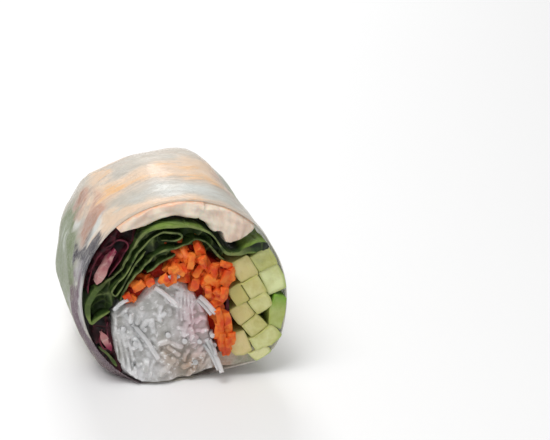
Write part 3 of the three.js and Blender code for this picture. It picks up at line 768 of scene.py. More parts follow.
# ---- shrimps: angle round the roll, depth, half width and thickness, from tail to head ----
SHRIMPS = {
    "shrimp_front_left": (
        (130, 1.5, 2, 1.6), (122, 1.9, 3.8, 2.9), (113, 2, 4.8, 3.6), (103, 2, 5, 3), (93, 1.8, 5, 3.5),
        (85, 1.6, 4.2, 4.1), (78, 1.5, 3, 3.6),
    ),
    "shrimp_front_right": (
        (84, 2.2, 3, 3.2), (76, 2.2, 4.2, 5), (67, 2.6, 6, 6.3), (57, 3, 6.6, 7.1), (52, 3, 6.6, 7.3),
        (48.5, 3, 5.4, 6.2), (45.5, 3, 3, 2.6),
    ),
    "shrimp_middle": (
        (141, 13, 2.4, 1.6), (132, 16.5, 4.6, 2.2), (118, 20, 6.4, 2.8), (100, 21, 7.6, 2.9),
        (82, 20.5, 8, 3.4), (65, 19, 7, 4), (54, 17.5, 3.4, 2.4),
    ),
    "shrimp_back": (
        (142, 36, 2.6, 1.6), (134, 38.5, 4.6, 2.2), (118, 42, 6.4, 2.8), (98, 43.5, 7, 2.9),
        (78, 42.5, 6.6, 3.2), (62, 39.5, 5, 2.8), (54, 37, 2.6, 1.8),
    ),
}
SHRIMP_SEGMENTS = 6
SHRIMP_PRESSED = 0.65  # how far the shrimps at the cut are pressed into the wrapper's room
CUT_PROUD = 0.5


def make_shrimp(name, spine, stations=130, sides=72):
    at_cut = name.startswith("shrimp_front")
    joint_depth, raggedness, pressed = (0.03, 0.08, SHRIMP_PRESSED) if at_cut else (0.1, 0, 0)
    table = np.array(spine, float)
    table[:, 0] = np.radians(table[:, 0]) * FILL_RADIUS
    line, direction, _ = spline(table, stations)
    direction = direction[:, :2] / np.linalg.norm(direction[:, :2], axis=1)[:, None]
    round_the_roll, back, half, thick = np.hsplit(line, 4)
    t = np.linspace(0, 1, stations)[:, None]
    angle = corners_round(sides)[None, :]
    joint = 1 - np.abs(np.sin(math.pi * SHRIMP_SEGMENTS * t))
    pinch = 1 - joint_depth * joint ** 3
    lumps = 1 + 0.06 * uneven(len(name), 14 * t, 2 * np.cos(angle), 2 * np.sin(angle))
    ragged = 1 + raggedness * uneven(len(name) + 3, 22 * t)
    out = half * lumps * pinch * np.cos(angle)
    radius = FILL_RADIUS + pressed - thick * ragged / 2 * (1 - np.sin(angle) * pinch * lumps)
    turn = (round_the_roll - direction[:, 1:] * out) / FILL_RADIUS
    depth = back + direction[:, :1] * out
    outer = smooth(0.55, 1.0, np.sin(angle))
    if at_cut:
        pitted = 0.3 * uneven(8, turn * 22, radius * 1.3) + 0.15 * uneven(9, turn * 50, radius * 2.6)
        depth = np.maximum(depth, pitted - CUT_PROUD + 0.7 * np.abs(np.sin(angle)) ** 6)
        outer = smooth(0.6, 0.0, FILL_RADIUS + pressed - radius)
    rings = place(radius * np.cos(turn), CENTRE_HEIGHT + radius * np.sin(turn), depth)
    points, faces = closed_loft(list(rings))
    marks = {}
    for mark, values in (("joint", joint ** 0.7), ("outer", outer)):
        marks[mark] = np.append(np.broadcast_to(values, (stations, sides)), [0, 0])
    piece = mesh_object(f"{name}_body", points, faces, SHRIMP, None, marks)
    serve(outward_faces(piece), "shrimp", name)


# ---- leaves: the centreline across the cut, depths, thickness, how wide the cut's pale edge is and
# how pale, and lobes of the front edge (place along the line, spread, how far it comes forward). A
# leaf may have stretches that are arched, folded over or lying flat, and a tip, each given by its
# borders along the line. Arched, lying and tip stretches are painted light just behind their front
# edge, and a fold's front is painted shade but for a lit strip ----
LEAVES = {
    "lettuce_1": dict(
        line=(
            (19.9, 34.6), (18, 35.4), (15.3, 34.7), (12.6, 33.3), (10, 33.4), (8.2, 35.6), (6.2, 38.7),
            (2.8, 41.2), (-2, 42.1), (-7, 41.4), (-10.4, 39.2), (-12.2, 35.8), (-14.1, 32.4), (-16.1, 29.3),
            (-18.6, 27.1), (-21.6, 25.3), (-23.2, 22.8), (-23.6, 19.9), (-23.1, 17.3), (-21.9, 18),
            (-20.2, 19), (-18.3, 19.7),
        ),
        span=(-0.6, 54), thickness=0.5, pale=0.5, lobes=((4, 4, 1.3), (26, 10, 1.3), (47, 5, -1.2)),
        arched=((17, 21), (38, 30)), folded=((9, 4),), lying=((50, 53), (62, 60)), tip=((60, 62),),
    ),
    "lettuce_2": dict(
        line=(
            (-5.4, 37.4), (-2.4, 37.5), (-0.8, 38.5), (-1.8, 39.5), (-4.9, 39.5), (-7.4, 38.5),
            (-9.3, 37.1), (-10.9, 35.1), (-12.6, 32.2), (-14.5, 29.4), (-16.6, 27.2), (-17.7, 25.3),
            (-17, 24.1), (-15.9, 25.2), (-14.6, 27.4), (-13, 29.8), (-11.2, 32.4), (-9.2, 34.8),
        ),
        span=(-0.4, 44), thickness=0.36, pale=0.25, lobes=((8, 4, 0.8), (28, 6, 1)),
    ),
    "lettuce_3": dict(
        line=(
            (9.4, 31.6), (8.2, 32.4), (7, 34), (5.4, 36.2), (3, 37.4), (0.2, 36.5), (-3.6, 35.4),
            (-6.8, 34), (-9.4, 31.9), (-11.6, 29.6), (-13.4, 27), (-15.2, 24), (-16, 22.4),
        ),
        span=(-0.4, 40), thickness=0.4, lobes=((14, 4, 0.9), (24, 4, 0.6)),
    ),
    "lettuce_4": dict(
        line=((-1.9, 34), (-3, 33.2), (-5.4, 32.4), (-7.4, 31), (-9.2, 29.6)),
        span=(-0.4, 44), thickness=0.36, pale=0.25, lobes=((5, 3, 0.6),),
    ),
    "lettuce_5": dict(
        line=((-20.5, 33.6), (-21.8, 31.2), (-22.8, 28.6), (-23.2, 27)),
        span=(10, 50), thickness=0.6,
    ),
    "lettuce_6": dict(
        line=((-21.2, 10.5), (-20.2, 9.4), (-19.2, 8.3), (-18.3, 6.9), (-17.4, 5.3)),
        span=(-0.2, 30), thickness=0.7, paleness=0.396,
    ),
    "radicchio_1": dict(
        line=(
            (-23.2, 24.6), (-22.6, 28.4), (-20.9, 32.2), (-18.4, 35.6), (-15.8, 37.6), (-13.9, 37.6),
            (-13.4, 36.3), (-15, 33.9), (-16.8, 31.4), (-18.4, 29.2),
        ),
        span=(-0.2, 8.5), thickness=0.3, pale=0.12, lobes=((9, 6, -1.6), (24, 6, 0.5)),
    ),
    "radicchio_2": dict(
        line=((-21.3, 27.4), (-19.8, 29.9), (-18.3, 32.2), (-17.2, 34), (-16.3, 35.6)),
        span=(-1, 46), thickness=1.3, lobes=((9, 3, -0.3),), rib=True,
    ),
    "radicchio_3": dict(
        line=((-20.2, 15), (-21.1, 12.5), (-20.1, 10.1), (-19, 11.2), (-19.2, 14.4), (-19, 17)),
        span=(-0.2, 34), thickness=0.4, pale=0.12,
    ),
    "radicchio_4": dict(
        line=((9.2, 22.8), (9.9, 20.6), (9.7, 18.4), (10.4, 15.8)),
        span=(-0.2, 26), thickness=0.6, pale=0.12,
    ),
}
RIBBED_LEAF = "radicchio_3"  # the torn leaf that has a low rib of its own
LOW_RIB = dict(
    line=((-20.6, 14.4), (-19.6, 12), (-18.5, 9.5)),
    span=(-0.3, 12), thickness=2.3, rib=True,
)
LEAF_RAGGED, LEAF_TATTERED = 0.45, 0.2  # how far the front edge strays, in wide and in narrow waves
LEAF_WAVES = 0.1  # how far the leaf itself strays
FOLD_HEIGHT, LYING_HEIGHT = 0.8, 0.35  # how much further its sides bulge where it is folded over or lies flat


def stretch(u, borders):
    """1 within borders along a leaf and 0 beyond them: each border says where it is 0 and where 1."""
    within = 0 * u + bool(borders)
    for beyond, reached in borders:
        within = within * smooth(beyond, reached, u)
    return within


def leaf_blade(name, line, span, thickness, pale=0.3, paleness=0.72, lobes=(), rib=False,
               arched=(), folded=(), lying=(), tip=(), rows=80):
    seed = sum(map(ord, name))
    length = spline(line)[2]
    columns = max(24, int(length * 3.6))
    middle, tangent, _ = spline(line, columns)
    sideways = np.stack([-tangent[:, 1], tangent[:, 0]], -1)
    sideways /= np.linalg.norm(sideways, axis=1)[:, None]
    u = np.linspace(0, length, columns)[None, :]
    v = np.linspace(0, 1, rows)[:, None] ** 1.8
    back = (span[1] - span[0]) * v
    arched, folded, lying, tip = (stretch(u, borders) for borders in (arched, folded, lying, tip))
    front = LEAF_RAGGED * uneven(seed, u / 2.2) + LEAF_TATTERED * uneven(seed + 1, u / 0.7)
    for at, spread, ahead in lobes:
        front = front - ahead * bell(u - at, spread)
    depth = span[0] + back + front * (1 - smooth(0, 0.25, v))
    from_side = np.minimum(u, length - u)
    waves = LEAF_WAVES * (uneven(seed + 2, u / 1.6, back / 2.2) + uneven(seed + 3, u / 0.9, back / 0.9))
    waves = waves * (0.6 + smooth(0.3, 3, back)) * smooth(0, 2, from_side)
    waves = waves + 0.5 * arched * bell(back, 1.2) + 0.2 * folded
    taper = 0.35 + 0.65 * smooth(0, 1.2, from_side)
    cut = paleness * bell(back, pale) * (1 - folded) * (1 - 0.85 * lying)
    if rib:
        taper = taper * (1 - 0.6 * smooth(0.3, 1, u / length)) * (0.6 + 0.4 * smooth(0, 0.4, u / length))
        cut = smooth(0.2, 0.85, u / length) + 0 * back
    half = thickness / 2 * (1 + 0.3 * uneven(seed + 4, u / 1.2, back / 3))
    half = half + FOLD_HEIGHT * folded + LYING_HEIGHT * lying
    flats = [middle + (waves + side * half * taper)[..., None] * sideways for side in (-1, 1)]
    points, faces = slab(*(place(flat[..., 0], flat[..., 1], depth) for flat in flats))
    # painted light: the lit top faces just behind the front edge of arched, lying and tip stretches
    uneven_light = 0.8 + 0.5 * uneven(seed + 5, u / 0.8, back / 0.8)
    fresh = arched * uneven_light * np.exp(-((back / 1.8) ** 4)) + (0.45 * lying + 0.6 * tip) * bell(back, 1.1)
    # painted shade on a fold's upper front, painted light behind it, and a lit strip along its lower front
    # edge
    lit_strip = smooth(0.5, 0, back) * (1.8 * smooth(2, 6, u) - 0.3)
    lit_and_fresh_sides = (fresh + folded * (2.1 * smooth(0.05, 0.6, back) - 1), fresh + folded * lit_strip)
    marks = {"cut": np.tile(cut, (2, 1)), "fresh": np.vstack(lit_and_fresh_sides)}
    uv = np.tile(np.stack(np.broadcast_arrays(u, back), -1).reshape(-1, 2), (2, 1)) / UV_SPAN
    material = RIB if rib else LETTUCE if name.startswith("lettuce") else RADICCHIO
    return outward_faces(sharpened(mesh_object(f"{name}_leaf", points, faces, material, uv, marks), 50))


def make_leaf(name, shape):
    slot = name.split("_")[0]
    pieces = [leaf_blade(name, **shape)]
    if name in BEDS:
        pieces.append(make_crumple(slot, *BEDS[name]))
    if name == RIBBED_LEAF:
        pieces.append(leaf_blade("rib", **LOW_RIB))
    serve(joined(f"{name}_leaf", *pieces), slot, name)


# ---- cucumber: middle of each baton in x and z, width, height, turn in degrees, how pale, how ripe ----
BATONS = (
    (18.8, 31, 4.2, 4, 29, 0.3, 0), (20.9, 25.7, 4.2, 6, 22, 0.75, 0),
    (14.3, 28.8, 4.2, 4.8, 30, 0.45, 0.6), (16.3, 24.1, 3.9, 4.3, 31, 0.35, 0.35),
    (17.7, 19.9, 3.9, 3.4, 30, 0.4, 0.2), (12.6, 22.1, 2.9, 4.1, 25, -0.3, 0.4),
    (13.1, 17.3, 3.9, 3.6, 30, 0.25, 0.6), (15.8, 14, 4, 3.4, 36, 0.3, 0.3),
    (21.6, 17.4, 2.5, 7, -16, 0.2, 0), (18, 11, 6, 3.1, 33, 0.5, 0.1),
    (17.1, 6.8, 3.2, 2.3, 40, 0.95, 0.25), (12.5, 9, 3.4, 5.7, 22, 0.75, 0.8),
)
BATON_LENGTH = 46
BATON_SQUARENESS = 0.16  # the power that rounds a baton's section, from 0 for square to 1 for an oval
BATON_PROUD, PROUD_SPREAD = 0.5, 0.35  # how far the cut ends stand out, and how much that differs
GREEN_STRIP = 9  # the baton that shows its rind
RIND_START, RIND_FULL = 23.2, 25  # from and to how far from the roll's middle a baton turns to rind
BATON_GROWTH = 0.7  # how far a cut end spreads at most, until it meets its neighbours
BATON_GAP = 0.05  # what is left between a cut end and the middle of the gap
WRAPPER_ROOM = 24.25  # how far from the roll's middle the batons reach
# rings of a cut end: their share of its width, and how far each is rounded back from the front
END_SHARES = (*np.linspace(0.06, 0.92, 12), 0.96, 0.985, 1, 1)
END_ROUNDING = (*[0] * 12, 0.01, 0.04, 0.1, 0.24)


def gap_to(batons, x, z):
    """How far points across the cut are from the nearest of some batons."""
    nearest = np.full(np.shape(x), np.inf)
    for middle_x, middle_z, width, height, turn, *_ in batons:
        c, s = math.cos(math.radians(turn)), math.sin(math.radians(turn))
        u = np.abs((x - middle_x) * c + (z - middle_z) * s) - width / 2
        v = np.abs((z - middle_z) * c - (x - middle_x) * s) - height / 2
        nearest = np.minimum(nearest, np.hypot(np.maximum(u, 0), np.maximum(v, 0)))
    return nearest


def baton_edge(number, x, z, width, height, turn, sides, steps=8):
    """The outline of a baton round its middle, spread until it nearly meets its neighbours."""
    angle = corners_round(sides)
    c, s = np.cos(angle), np.sin(angle)
    edge = np.stack([np.sign(c) * np.abs(c) ** BATON_SQUARENESS * width / 2,
                     np.sign(s) * np.abs(s) ** BATON_SQUARENESS * height / 2], -1)
    lean = math.radians(turn)
    plain = edge @ np.array([[math.cos(lean), math.sin(lean)], [-math.sin(lean), math.cos(lean)]])
    others = [baton for other, baton in enumerate(BATONS, 1) if other != number]
    edge, outward = plain, plain / np.hypot(*plain.T)[:, None]
    start = gap_to(others, x + edge[:, 0], z + edge[:, 1])
    for _ in range(steps):
        spare = gap_to(others, x + edge[:, 0], z + edge[:, 1]) - start / 2 - BATON_GAP
        edge = edge + outward * np.clip(spare, 0, 2 * BATON_GROWTH / steps)[:, None]
    grown = np.minimum(np.hypot(*(edge - plain).T), BATON_GROWTH * (1 + 0.3 * uneven(number, 3 * c, 3 * s)))
    edge = plain + outward * grown[:, None]
    reach = np.hypot(x + edge[:, 0], z + edge[:, 1] - CENTRE_HEIGHT)
    return edge * np.minimum(1, 1 - (reach - WRAPPER_ROOM) / np.hypot(*edge.T))[:, None]


def make_baton(number, x, z, width, height, turn, pale, ripe, sides=72, ring_count=36):
    edge = baton_edge(number, x, z, width, height, turn, sides)
    proud = BATON_PROUD + PROUD_SPREAD * math.sin(5 * (number - 1))
    layers, side_shade = [], []
    for share, rounding in zip(END_SHARES, END_ROUNDING):
        across = edge * share + (x, z)
        rough = 0.2 * uneven(number + 20, across[:, 0] / 0.7, across[:, 1] / 0.7)
        layers.append(place(across[:, 0], across[:, 1], -proud + rounding + rough * (1 - share ** 6)))
        # painted shade, growing towards the rim of the cut end and full on the sides
        side_shade.append(np.full(sides, smooth(0.72, 1, share) * 0.6))
    for depth in -proud + 0.6 + (BATON_LENGTH - 2 * proud) * np.linspace(0, 1, ring_count) ** 1.5:
        layers.append(place(x + edge[:, 0], z + edge[:, 1], depth))
        side_shade.append(np.full(sides, 1.0))
    points, faces = closed_loft(layers)
    if number == GREEN_STRIP:
        base, top = 0.3, 0.6 * smooth(1.4, 3.2, edge[:, 1])
        rind = [base + top * share for share in END_SHARES] + [base + top] * ring_count
    else:
        base = 0
        skinned = smooth(RIND_START, RIND_FULL, np.hypot(x + edge[:, 0], z + edge[:, 1] - CENTRE_HEIGHT))
        rind = [skinned * smooth(0.7, 1, share) * 0.7 for share in END_SHARES] + [skinned] * ring_count
    marks = {"side": np.append(side_shade, [0, 1]), "rind": np.append(rind, [base, base]),
             "ripe": np.full(len(points), ripe), "pale": np.full(len(points), pale)}
    piece = mesh_object(f"cucumber_{number}_baton", points, faces, CUCUMBER, None, marks)
    serve(outward_faces(piece), "cucumber", f"cucumber_{number}")


# ---- strands: curves given a section by Geometry Nodes ----
class Tree(Nodes):
    """A Geometry Nodes tree with named inputs."""

    def __init__(self, name, inputs):
        super().__init__(bpy.data.node_groups.new(name, "GeometryNodeTree"))
        self.tree.interface.new_socket("Geometry", in_out="INPUT", socket_type="NodeSocketGeometry")
        for label, (kind, value) in inputs.items():
            made = self.tree.interface.new_socket(label, in_out="INPUT", socket_type=f"NodeSocket{kind}")
            if value is not None:
                made.default_value = value
        self.tree.interface.new_socket("Geometry", in_out="OUTPUT", socket_type="NodeSocketGeometry")
        self.entry = self.tree.nodes.new("NodeGroupInput")

    def given(self, label):
        return Socket(self, self.entry.outputs[label])

    def end(self, geometry):
        self.plug(self.tree.nodes.new("NodeGroupOutput").inputs[0], geometry)

    def grow(self, piece, **values):
        """Runs the tree on the piece with its inputs set, and leaves a plain mesh."""
        modifier = piece.modifiers.new("grown", "NODES")
        modifier.node_group = self.tree
        for socket in self.tree.interface.items_tree:
            if socket.in_out == "INPUT" and socket.name.replace(" ", "_") in values:
                modifier[socket.identifier] = values[socket.name.replace(" ", "_")]
        return finished(piece)


def strand_tree():
    """Gives each line of the mesh a rounded section, with a size, twist and darkness of its own."""
    t = Tree("strands", {
        "Width": ("Float", 0.0015),
        "Height": ("Float", 0.0015),
        "Corner": ("Float", 0.0007),
        "Corner Steps": ("Int", 2),
        "Thinnest": ("Float", 0.85),
        "Thickest": ("Float", 1.1),
        "Twist": ("Float", 0.0),
        "Darkest": ("Float", 0.5),
        "Rough": ("Float", 0.0),
        "Seed": ("Int", 4),
        "Material": ("Material", None),
    })
    index = t.node("GeometryNodeInputIndex")

    def drawn(low, high, offset):
        """A number for each line, between low and high."""
        seed = t.node("FunctionNodeIntegerMath", {0: t.given("Seed"), 1: offset}, operation="ADD")
        bounds = {"Min": low, "Max": high, "ID": index, "Seed": seed}
        value = t.node("FunctionNodeRandomValue", bounds, output="Value", data_type="FLOAT")
        return t.node("GeometryNodeFieldOnDomain", {0: value}, domain="CURVE")

    curves = t.node("GeometryNodeMeshToCurve", {"Mesh": t.given("Geometry")})
    tone = {"Geometry": curves, "Name": "tone", "Value": drawn(0.0, t.given("Darkest"), 2)}
    toned = t.node("GeometryNodeStoreNamedAttribute", tone, data_type="FLOAT", domain="POINT")
    turned = t.node("GeometryNodeSetCurveTilt", {"Curve": toned, "Tilt": drawn(0.0, t.given("Twist"), 1)})
    size = drawn(t.given("Thinnest"), t.given("Thickest"), 0)
    sized = t.node("GeometryNodeSetCurveRadius", {"Curve": turned, "Radius": size})
    sides = {"Width": t.given("Width"), "Height": t.given("Height")}
    corners = {"Radius": t.given("Corner"), "Count": t.given("Corner Steps"), "Limit Radius": True}
    corners["Curve"] = t.node("GeometryNodeCurvePrimitiveQuadrilateral", sides)
    rounded = t.node("GeometryNodeFilletCurve", corners, mode="POLY")
    solid = t.node("GeometryNodeCurveToMesh", {"Curve": sized, "Profile Curve": rounded, "Fill Caps": True})
    noise = t.node("ShaderNodeTexNoise", {"Scale": 700.0, "Detail": 1.0}, output="Color")
    centred = t.node("ShaderNodeVectorMath", {0: noise, 1: (0.5, 0.5, 0.5)}, operation="SUBTRACT")
    moved = t.node("ShaderNodeVectorMath", {0: centred, "Scale": t.given("Rough")}, operation="SCALE")
    shaken = t.node("GeometryNodeSetPosition", {"Geometry": solid, "Offset": moved})
    whole = t.node("GeometryNodeRealizeInstances", {"Geometry": shaken})
    t.end(t.node("GeometryNodeSetMaterial", {"Geometry": whole, "Material": t.given("Material")}))
    return t


STRANDS = strand_tree()


def strands(name, lines, width, height, corner, angle, **values):
    """Strands along lines of points, with edges sharper than the angle kept sharp."""
    edges, start = [], 0
    for line in lines:
        edges += [(start + i, start + i + 1) for i in range(len(line) - 1)]
        start += len(line)
    piece = mesh_object(name, np.vstack(lines), [], edges=edges)
    sizes = {"Width": width * MM, "Height": height * MM, "Corner": corner * MM}
    return sharpened(STRANDS.grow(piece, **sizes, **values), angle)


FRONT_ROUNDING = 0.8  # how far a body behind strands is rounded back along its edge


def core(name, outline, material, recess, length, relief, marks,
         columns=160, nested=40, rows=60, floor=SKIN + CLEARANCE):
    """What lies behind the strands that show: the outline carried back, with an uneven front."""
    edge, _ = evenly(outline + outline[:1], columns, endpoint=False)
    middle = edge.mean(0)
    layers, flat = [], []
    for share in np.linspace(0.02, 1, nested):
        flat.append(middle + (edge - middle) * share)
        x, z = flat[-1].T
        rounding = FRONT_ROUNDING * smooth(0.9, 1, share) ** 2
        layers.append(place(x, z, recess + rounding - relief(x, z) * smooth(1, 0.96, share), floor))
    for depth in recess + FRONT_ROUNDING + (length - recess - FRONT_ROUNDING) * np.linspace(0, 1, rows)[1:]:
        flat.append(edge)
        layers.append(place(*edge.T, depth, floor))
    points, faces = closed_loft(layers)
    x, z = np.vstack([*flat, middle, middle]).T
    marks = {mark: value(x, z) for mark, value in marks.items()}
    return outward_faces(mesh_object(name, points, faces, material, None, marks))


# ---- carrot ----
CARROT_BAND = [
    (-13.8, 22.9), (-11.1, 26.1), (-6.6, 29.3), (-2.2, 31.2), (-0.4, 34.2), (2, 35), (4.2, 33.8),
    (6.2, 31.4), (8.4, 30), (10.6, 29), (10.3, 25.2), (8.3, 22.6), (8.5, 19), (9.1, 15.4), (10.4, 13.2),
    (9.6, 10.4), (10.8, 5.6), (9.2, 4.8), (7.9, 11.4), (6.5, 18.2), (3.7, 23.8), (-0.4, 28.6), (-6.4, 28.2),
    (-10.3, 25.4), (-12.9, 22.6),
]
# kinds of shred: width, height, share of all, how far they lean
SHRED_KINDS = ((2.7, 1.9, 0.4, 4.4), (2, 1.6, 0.3, 5.5), (3.4, 1.5, 0.3, 3.4))
SHRED_SPACING = 1.75
# shreds that lie across the front: x and z of both ends, how far forward
CROSSING = (
    (-1.8, 30.6, -3.6, 29.6, -1.4), (1.2, 34.2, 1, 30.6, -1.9), (3.6, 33.4, 4.4, 30.6, -1.9),
    (6.6, 31.2, 6.4, 27.8, -2.1), (9.6, 29.6, 8.4, 26.2, -2), (4.4, 28.4, 7.2, 26, -1.9),
    (8.8, 25.2, 8.4, 21.8, -2.3), (6.6, 24.6, 8.2, 22.8, -1.6), (6.7, 19.6, 8, 12.4, -2.2),
    (8.6, 18.4, 9.4, 13.2, -1.8), (8, 13.2, 9, 7, -2), (9.9, 13.2, 10.4, 9.8, -1.8),
    (-4.4, 28.4, -6, 27.4, -1.3), (-14.4, 24.2, -13.6, 22.2, -0.4), (-10.2, 27.2, -12.2, 25.4, -1),
    (8.9, 9.6, 9.9, 5.6, -1.5), (8, 11.6, 8.8, 7.6, -1.2), (8, 31.4, 10.4, 30.2, -1.6),
    (10.3, 30, 10.8, 26.8, -1.7), (7, 16, 7.6, 11, -1.6), (9.2, 12, 10, 7.6, -2),
)
LOOSE_SHREDS = ((-4.2, 26.6), (-8.7, 27))  # that peep out among the noodles


def make_carrots():
    chance = np.random.default_rng(11)
    lines = [[] for _ in SHRED_KINDS]
    s = np.linspace(0, 1, 9)
    for x in np.arange(-15, 12, SHRED_SPACING):
        for z in np.arange(5, 37, SHRED_SPACING):
            px, pz = x + chance.uniform(-0.8, 0.8), z + chance.uniform(-0.8, 0.8)
            lean, ahead, reach = chance.uniform(0, TAU), chance.uniform(-2.0, 0.6), chance.uniform(0.2, 1)
            kind = chance.choice(len(SHRED_KINDS), p=[k[2] for k in SHRED_KINDS])
            if inside(CARROT_BAND, px, pz):
                sway = SHRED_KINDS[kind][3] * reach * s
                shred = place(px + sway * math.cos(lean), pz + sway * math.sin(lean), ahead + 4.5 * s)
                lines[kind].append(shred)
    for x1, z1, x2, z2, ahead in CROSSING:
        lines[1].append(place(x1 + (x2 - x1) * s, z1 + (z2 - z1) * s, ahead + 0.9 * s * s))
    for px, pz in LOOSE_SHREDS:
        lines[1].append(place(px + 1.2 * s, pz - 0.5 * s, -1.0 + 4 * s))
    pieces = [
        strands(f"carrot_{number}", shreds, width, height, 0.45, 35, Corner_Steps=2, Thinnest=0.7,
                Thickest=1.15, Twist=TAU, Darkest=0.45, Rough=0.9 * MM, Seed=9 + number, Material=CARROT)
        for number, ((width, height, _, _), shreds) in enumerate(zip(SHRED_KINDS, lines))
    ]
    # painted shade: the body seen in the gaps between shreds takes the shade colour all over
    pieces.append(core(
        "carrot_band", CARROT_BAND, CARROT, 1.6, 50, lambda x, z: 0.5 * uneven(7, x / 0.7, z / 0.7),
        {"tone": lambda x, z: 1 + 0 * x}))
    serve(joined("carrot_shreds_heap", *pieces), "carrot", "carrot_shreds")


# ---- rice noodles ----
BUNDLE = [
    (-14.8, 21), (-17.6, 18.2), (-18.1, 13.4), (-17.7, 8), (-16.7, 5), (-14.2, 2.2), (-11.8, 0.5),
    (-9, 0.3), (-3, 0.3), (3, 0.3), (7.9, 0.6), (7.7, 5.6), (6.4, 11.4), (5, 17.8), (2, 23.6), (-1.4, 27),
    (-6.7, 26.7), (-9.8, 23.6), (-12.3, 21),
]
FRINGE_AHEAD = 1.6  # how far the bundle's lower left part hangs over the wrapper's edge, in front of the cut
BUNDLE_FLOOR = 0.3
SUNK = 110  # how many strands are strewn over the bundle's front, half sunk in it
MELT = 5  # how sharply sunk strands part from one another
# more of them, each in its place: x and z of both ends, how far they bow, how far they stand out, width
SUNKEN = (
    (-2.2, 23.4, -2.3, 17, 0.1, 0, 0.6), (-1.3, 23.6, -1.4, 16.5, 0.1, 0.1, 0.6),
    (-0.4, 23.3, -0.5, 16.6, 0, 0.05, 0.6), (0.5, 23, 0.5, 16, 0, 0.1, 0.6),
    (1.4, 22.4, 1.6, 15.8, -0.1, 0, 0.6), (-17.6, 14.6, -16.6, 4.6, -0.6, 0, 0.7),
    (-16.5, 14.2, -15.2, 2.6, -0.6, 0.05, 0.7), (-15.4, 13.4, -13.9, 1.8, -0.6, 0.05, 0.7),
    (-14.2, 12.9, -12.5, 1, -0.6, 0, 0.7), (-7, 26.1, -2.2, 27.3, 0.3, 0.2, 1),
    (-16.6, 18.4, -12.6, 22.6, 0.4, 0.1, 1.1),
)
# strands that lie in front: x and z of both ends, how far they bow, how far forward at each end, how thick
LYING = (
    (-13.2, 16.3, -7.6, 7.2, 0.3, -0.4, -1.9, 1.2), (-7.6, 25.6, -2.9, 21.4, 0.2, -0.7, -2, 1.2),
    (3.1, 22.6, 6.1, 18.8, 0.1, -0.7, -2.6, 1.2), (2.5, 21.7, 5.2, 18.2, 0.1, -0.5, -1.9, 0.9),
    (5, 9.6, 8.3, 0.6, 0.4, -0.6, -3.3, 1.2), (4.2, 8.4, 7.5, 1.2, 0.3, -0.5, -2.6, 0.9),
    (5.9, 9.6, 7.2, 5.4, 0.2, -0.9, -1.9, 0.9), (-17.4, 20.2, -14, 23, 0.2, -0.4, -0.9, 1),
    (-6.6, 27.2, -1.5, 28.3, 0.3, -0.8, -1, 1),
)
# strands whose cut ends face forward: x, z, how far forward and how thick
ENDS = (
    (-15.1, 14.8, 1, 1.3), (-12.4, 10.9, 1.1, 1.2), (-14.3, 18.4, 1, 1.1), (2, 4.1, 1.2, 1.3),
    (6.6, 11, 1.7, 1.2), (-4.4, 12.4, 0.9, 1.3), (-0.4, 10.4, 0.9, 1.3), (7.4, 7.7, 1.4, 1.1),
    (-2.1, 27.6, 1.2, 1), (-9.9, 14.2, 0.8, 1.1), (-13, 5.4, 1.1, 1.2), (3.4, 9, 0.9, 1.1),
)
# where the bundle is painted warmer and browner, the patch low in the middle as painted shade in its hollow:
# x, z, how wide and high, how strongly
WARM_AND_SHADE = ((1, 4, 6, 4.5, 1.1), (-5, 27, 3, 2, 0.7), (-5, 8.5, 2, 3, 0.7))
VIOLET = (3, 16, 4.5, 9, 1)  # and where more violet


def sunk_strands(chance, outline, count):
    """How far strands that are half sunk in one another stand out, at points across the cut."""
    strand_rows = [
        (*middle, chance.uniform(0, math.pi), chance.uniform(0.1, 2.2), chance.normal(0, 0.08),
         chance.uniform(-0.6, 0.0), chance.uniform(1.0, 1.5))
        for middle in chance.uniform(np.min(outline, 0), np.max(outline, 0), (count, 2))
    ]
    for x1, z1, x2, z2, bow, top, width in SUNKEN:
        half = math.hypot(x2 - x1, z2 - z1) / 2
        lean = math.atan2(z2 - z1, x2 - x1)
        strand_rows.append(((x1 + x2) / 2, (z1 + z2) / 2, lean, half, bow / half ** 2, top, width))

    def relief(x, z):
        lumps = 0.3 * uneven(43, x / 2.0, z / 2.0) + 0.08 * uneven(44, x / 0.7, z / 0.7)
        tall = np.full(np.shape(x), -0.3)
        for mx, mz, lean, half, bow, top, width in strand_rows:
            along = (x - mx) * math.cos(lean) + (z - mz) * math.sin(lean)
            across = (z - mz) * math.cos(lean) - (x - mx) * math.sin(lean) - bow * along ** 2
            off = np.hypot(np.maximum(np.abs(along) - half, 0), across)
            section = np.sqrt(np.maximum((width / 2) ** 2 - off ** 2, 0)) - 2 * np.maximum(off - width / 2, 0)
            tall = np.logaddexp(MELT * tall, MELT * (top + section)) / MELT
        low = smooth(8.5, 1.5, z + 0.8 * uneven(45, x / 2))
        return tall + lumps + 0.3 + FRINGE_AHEAD * low * smooth(-16.5, -13.5, x) * smooth(-1.5, -5.5, x)

    return relief


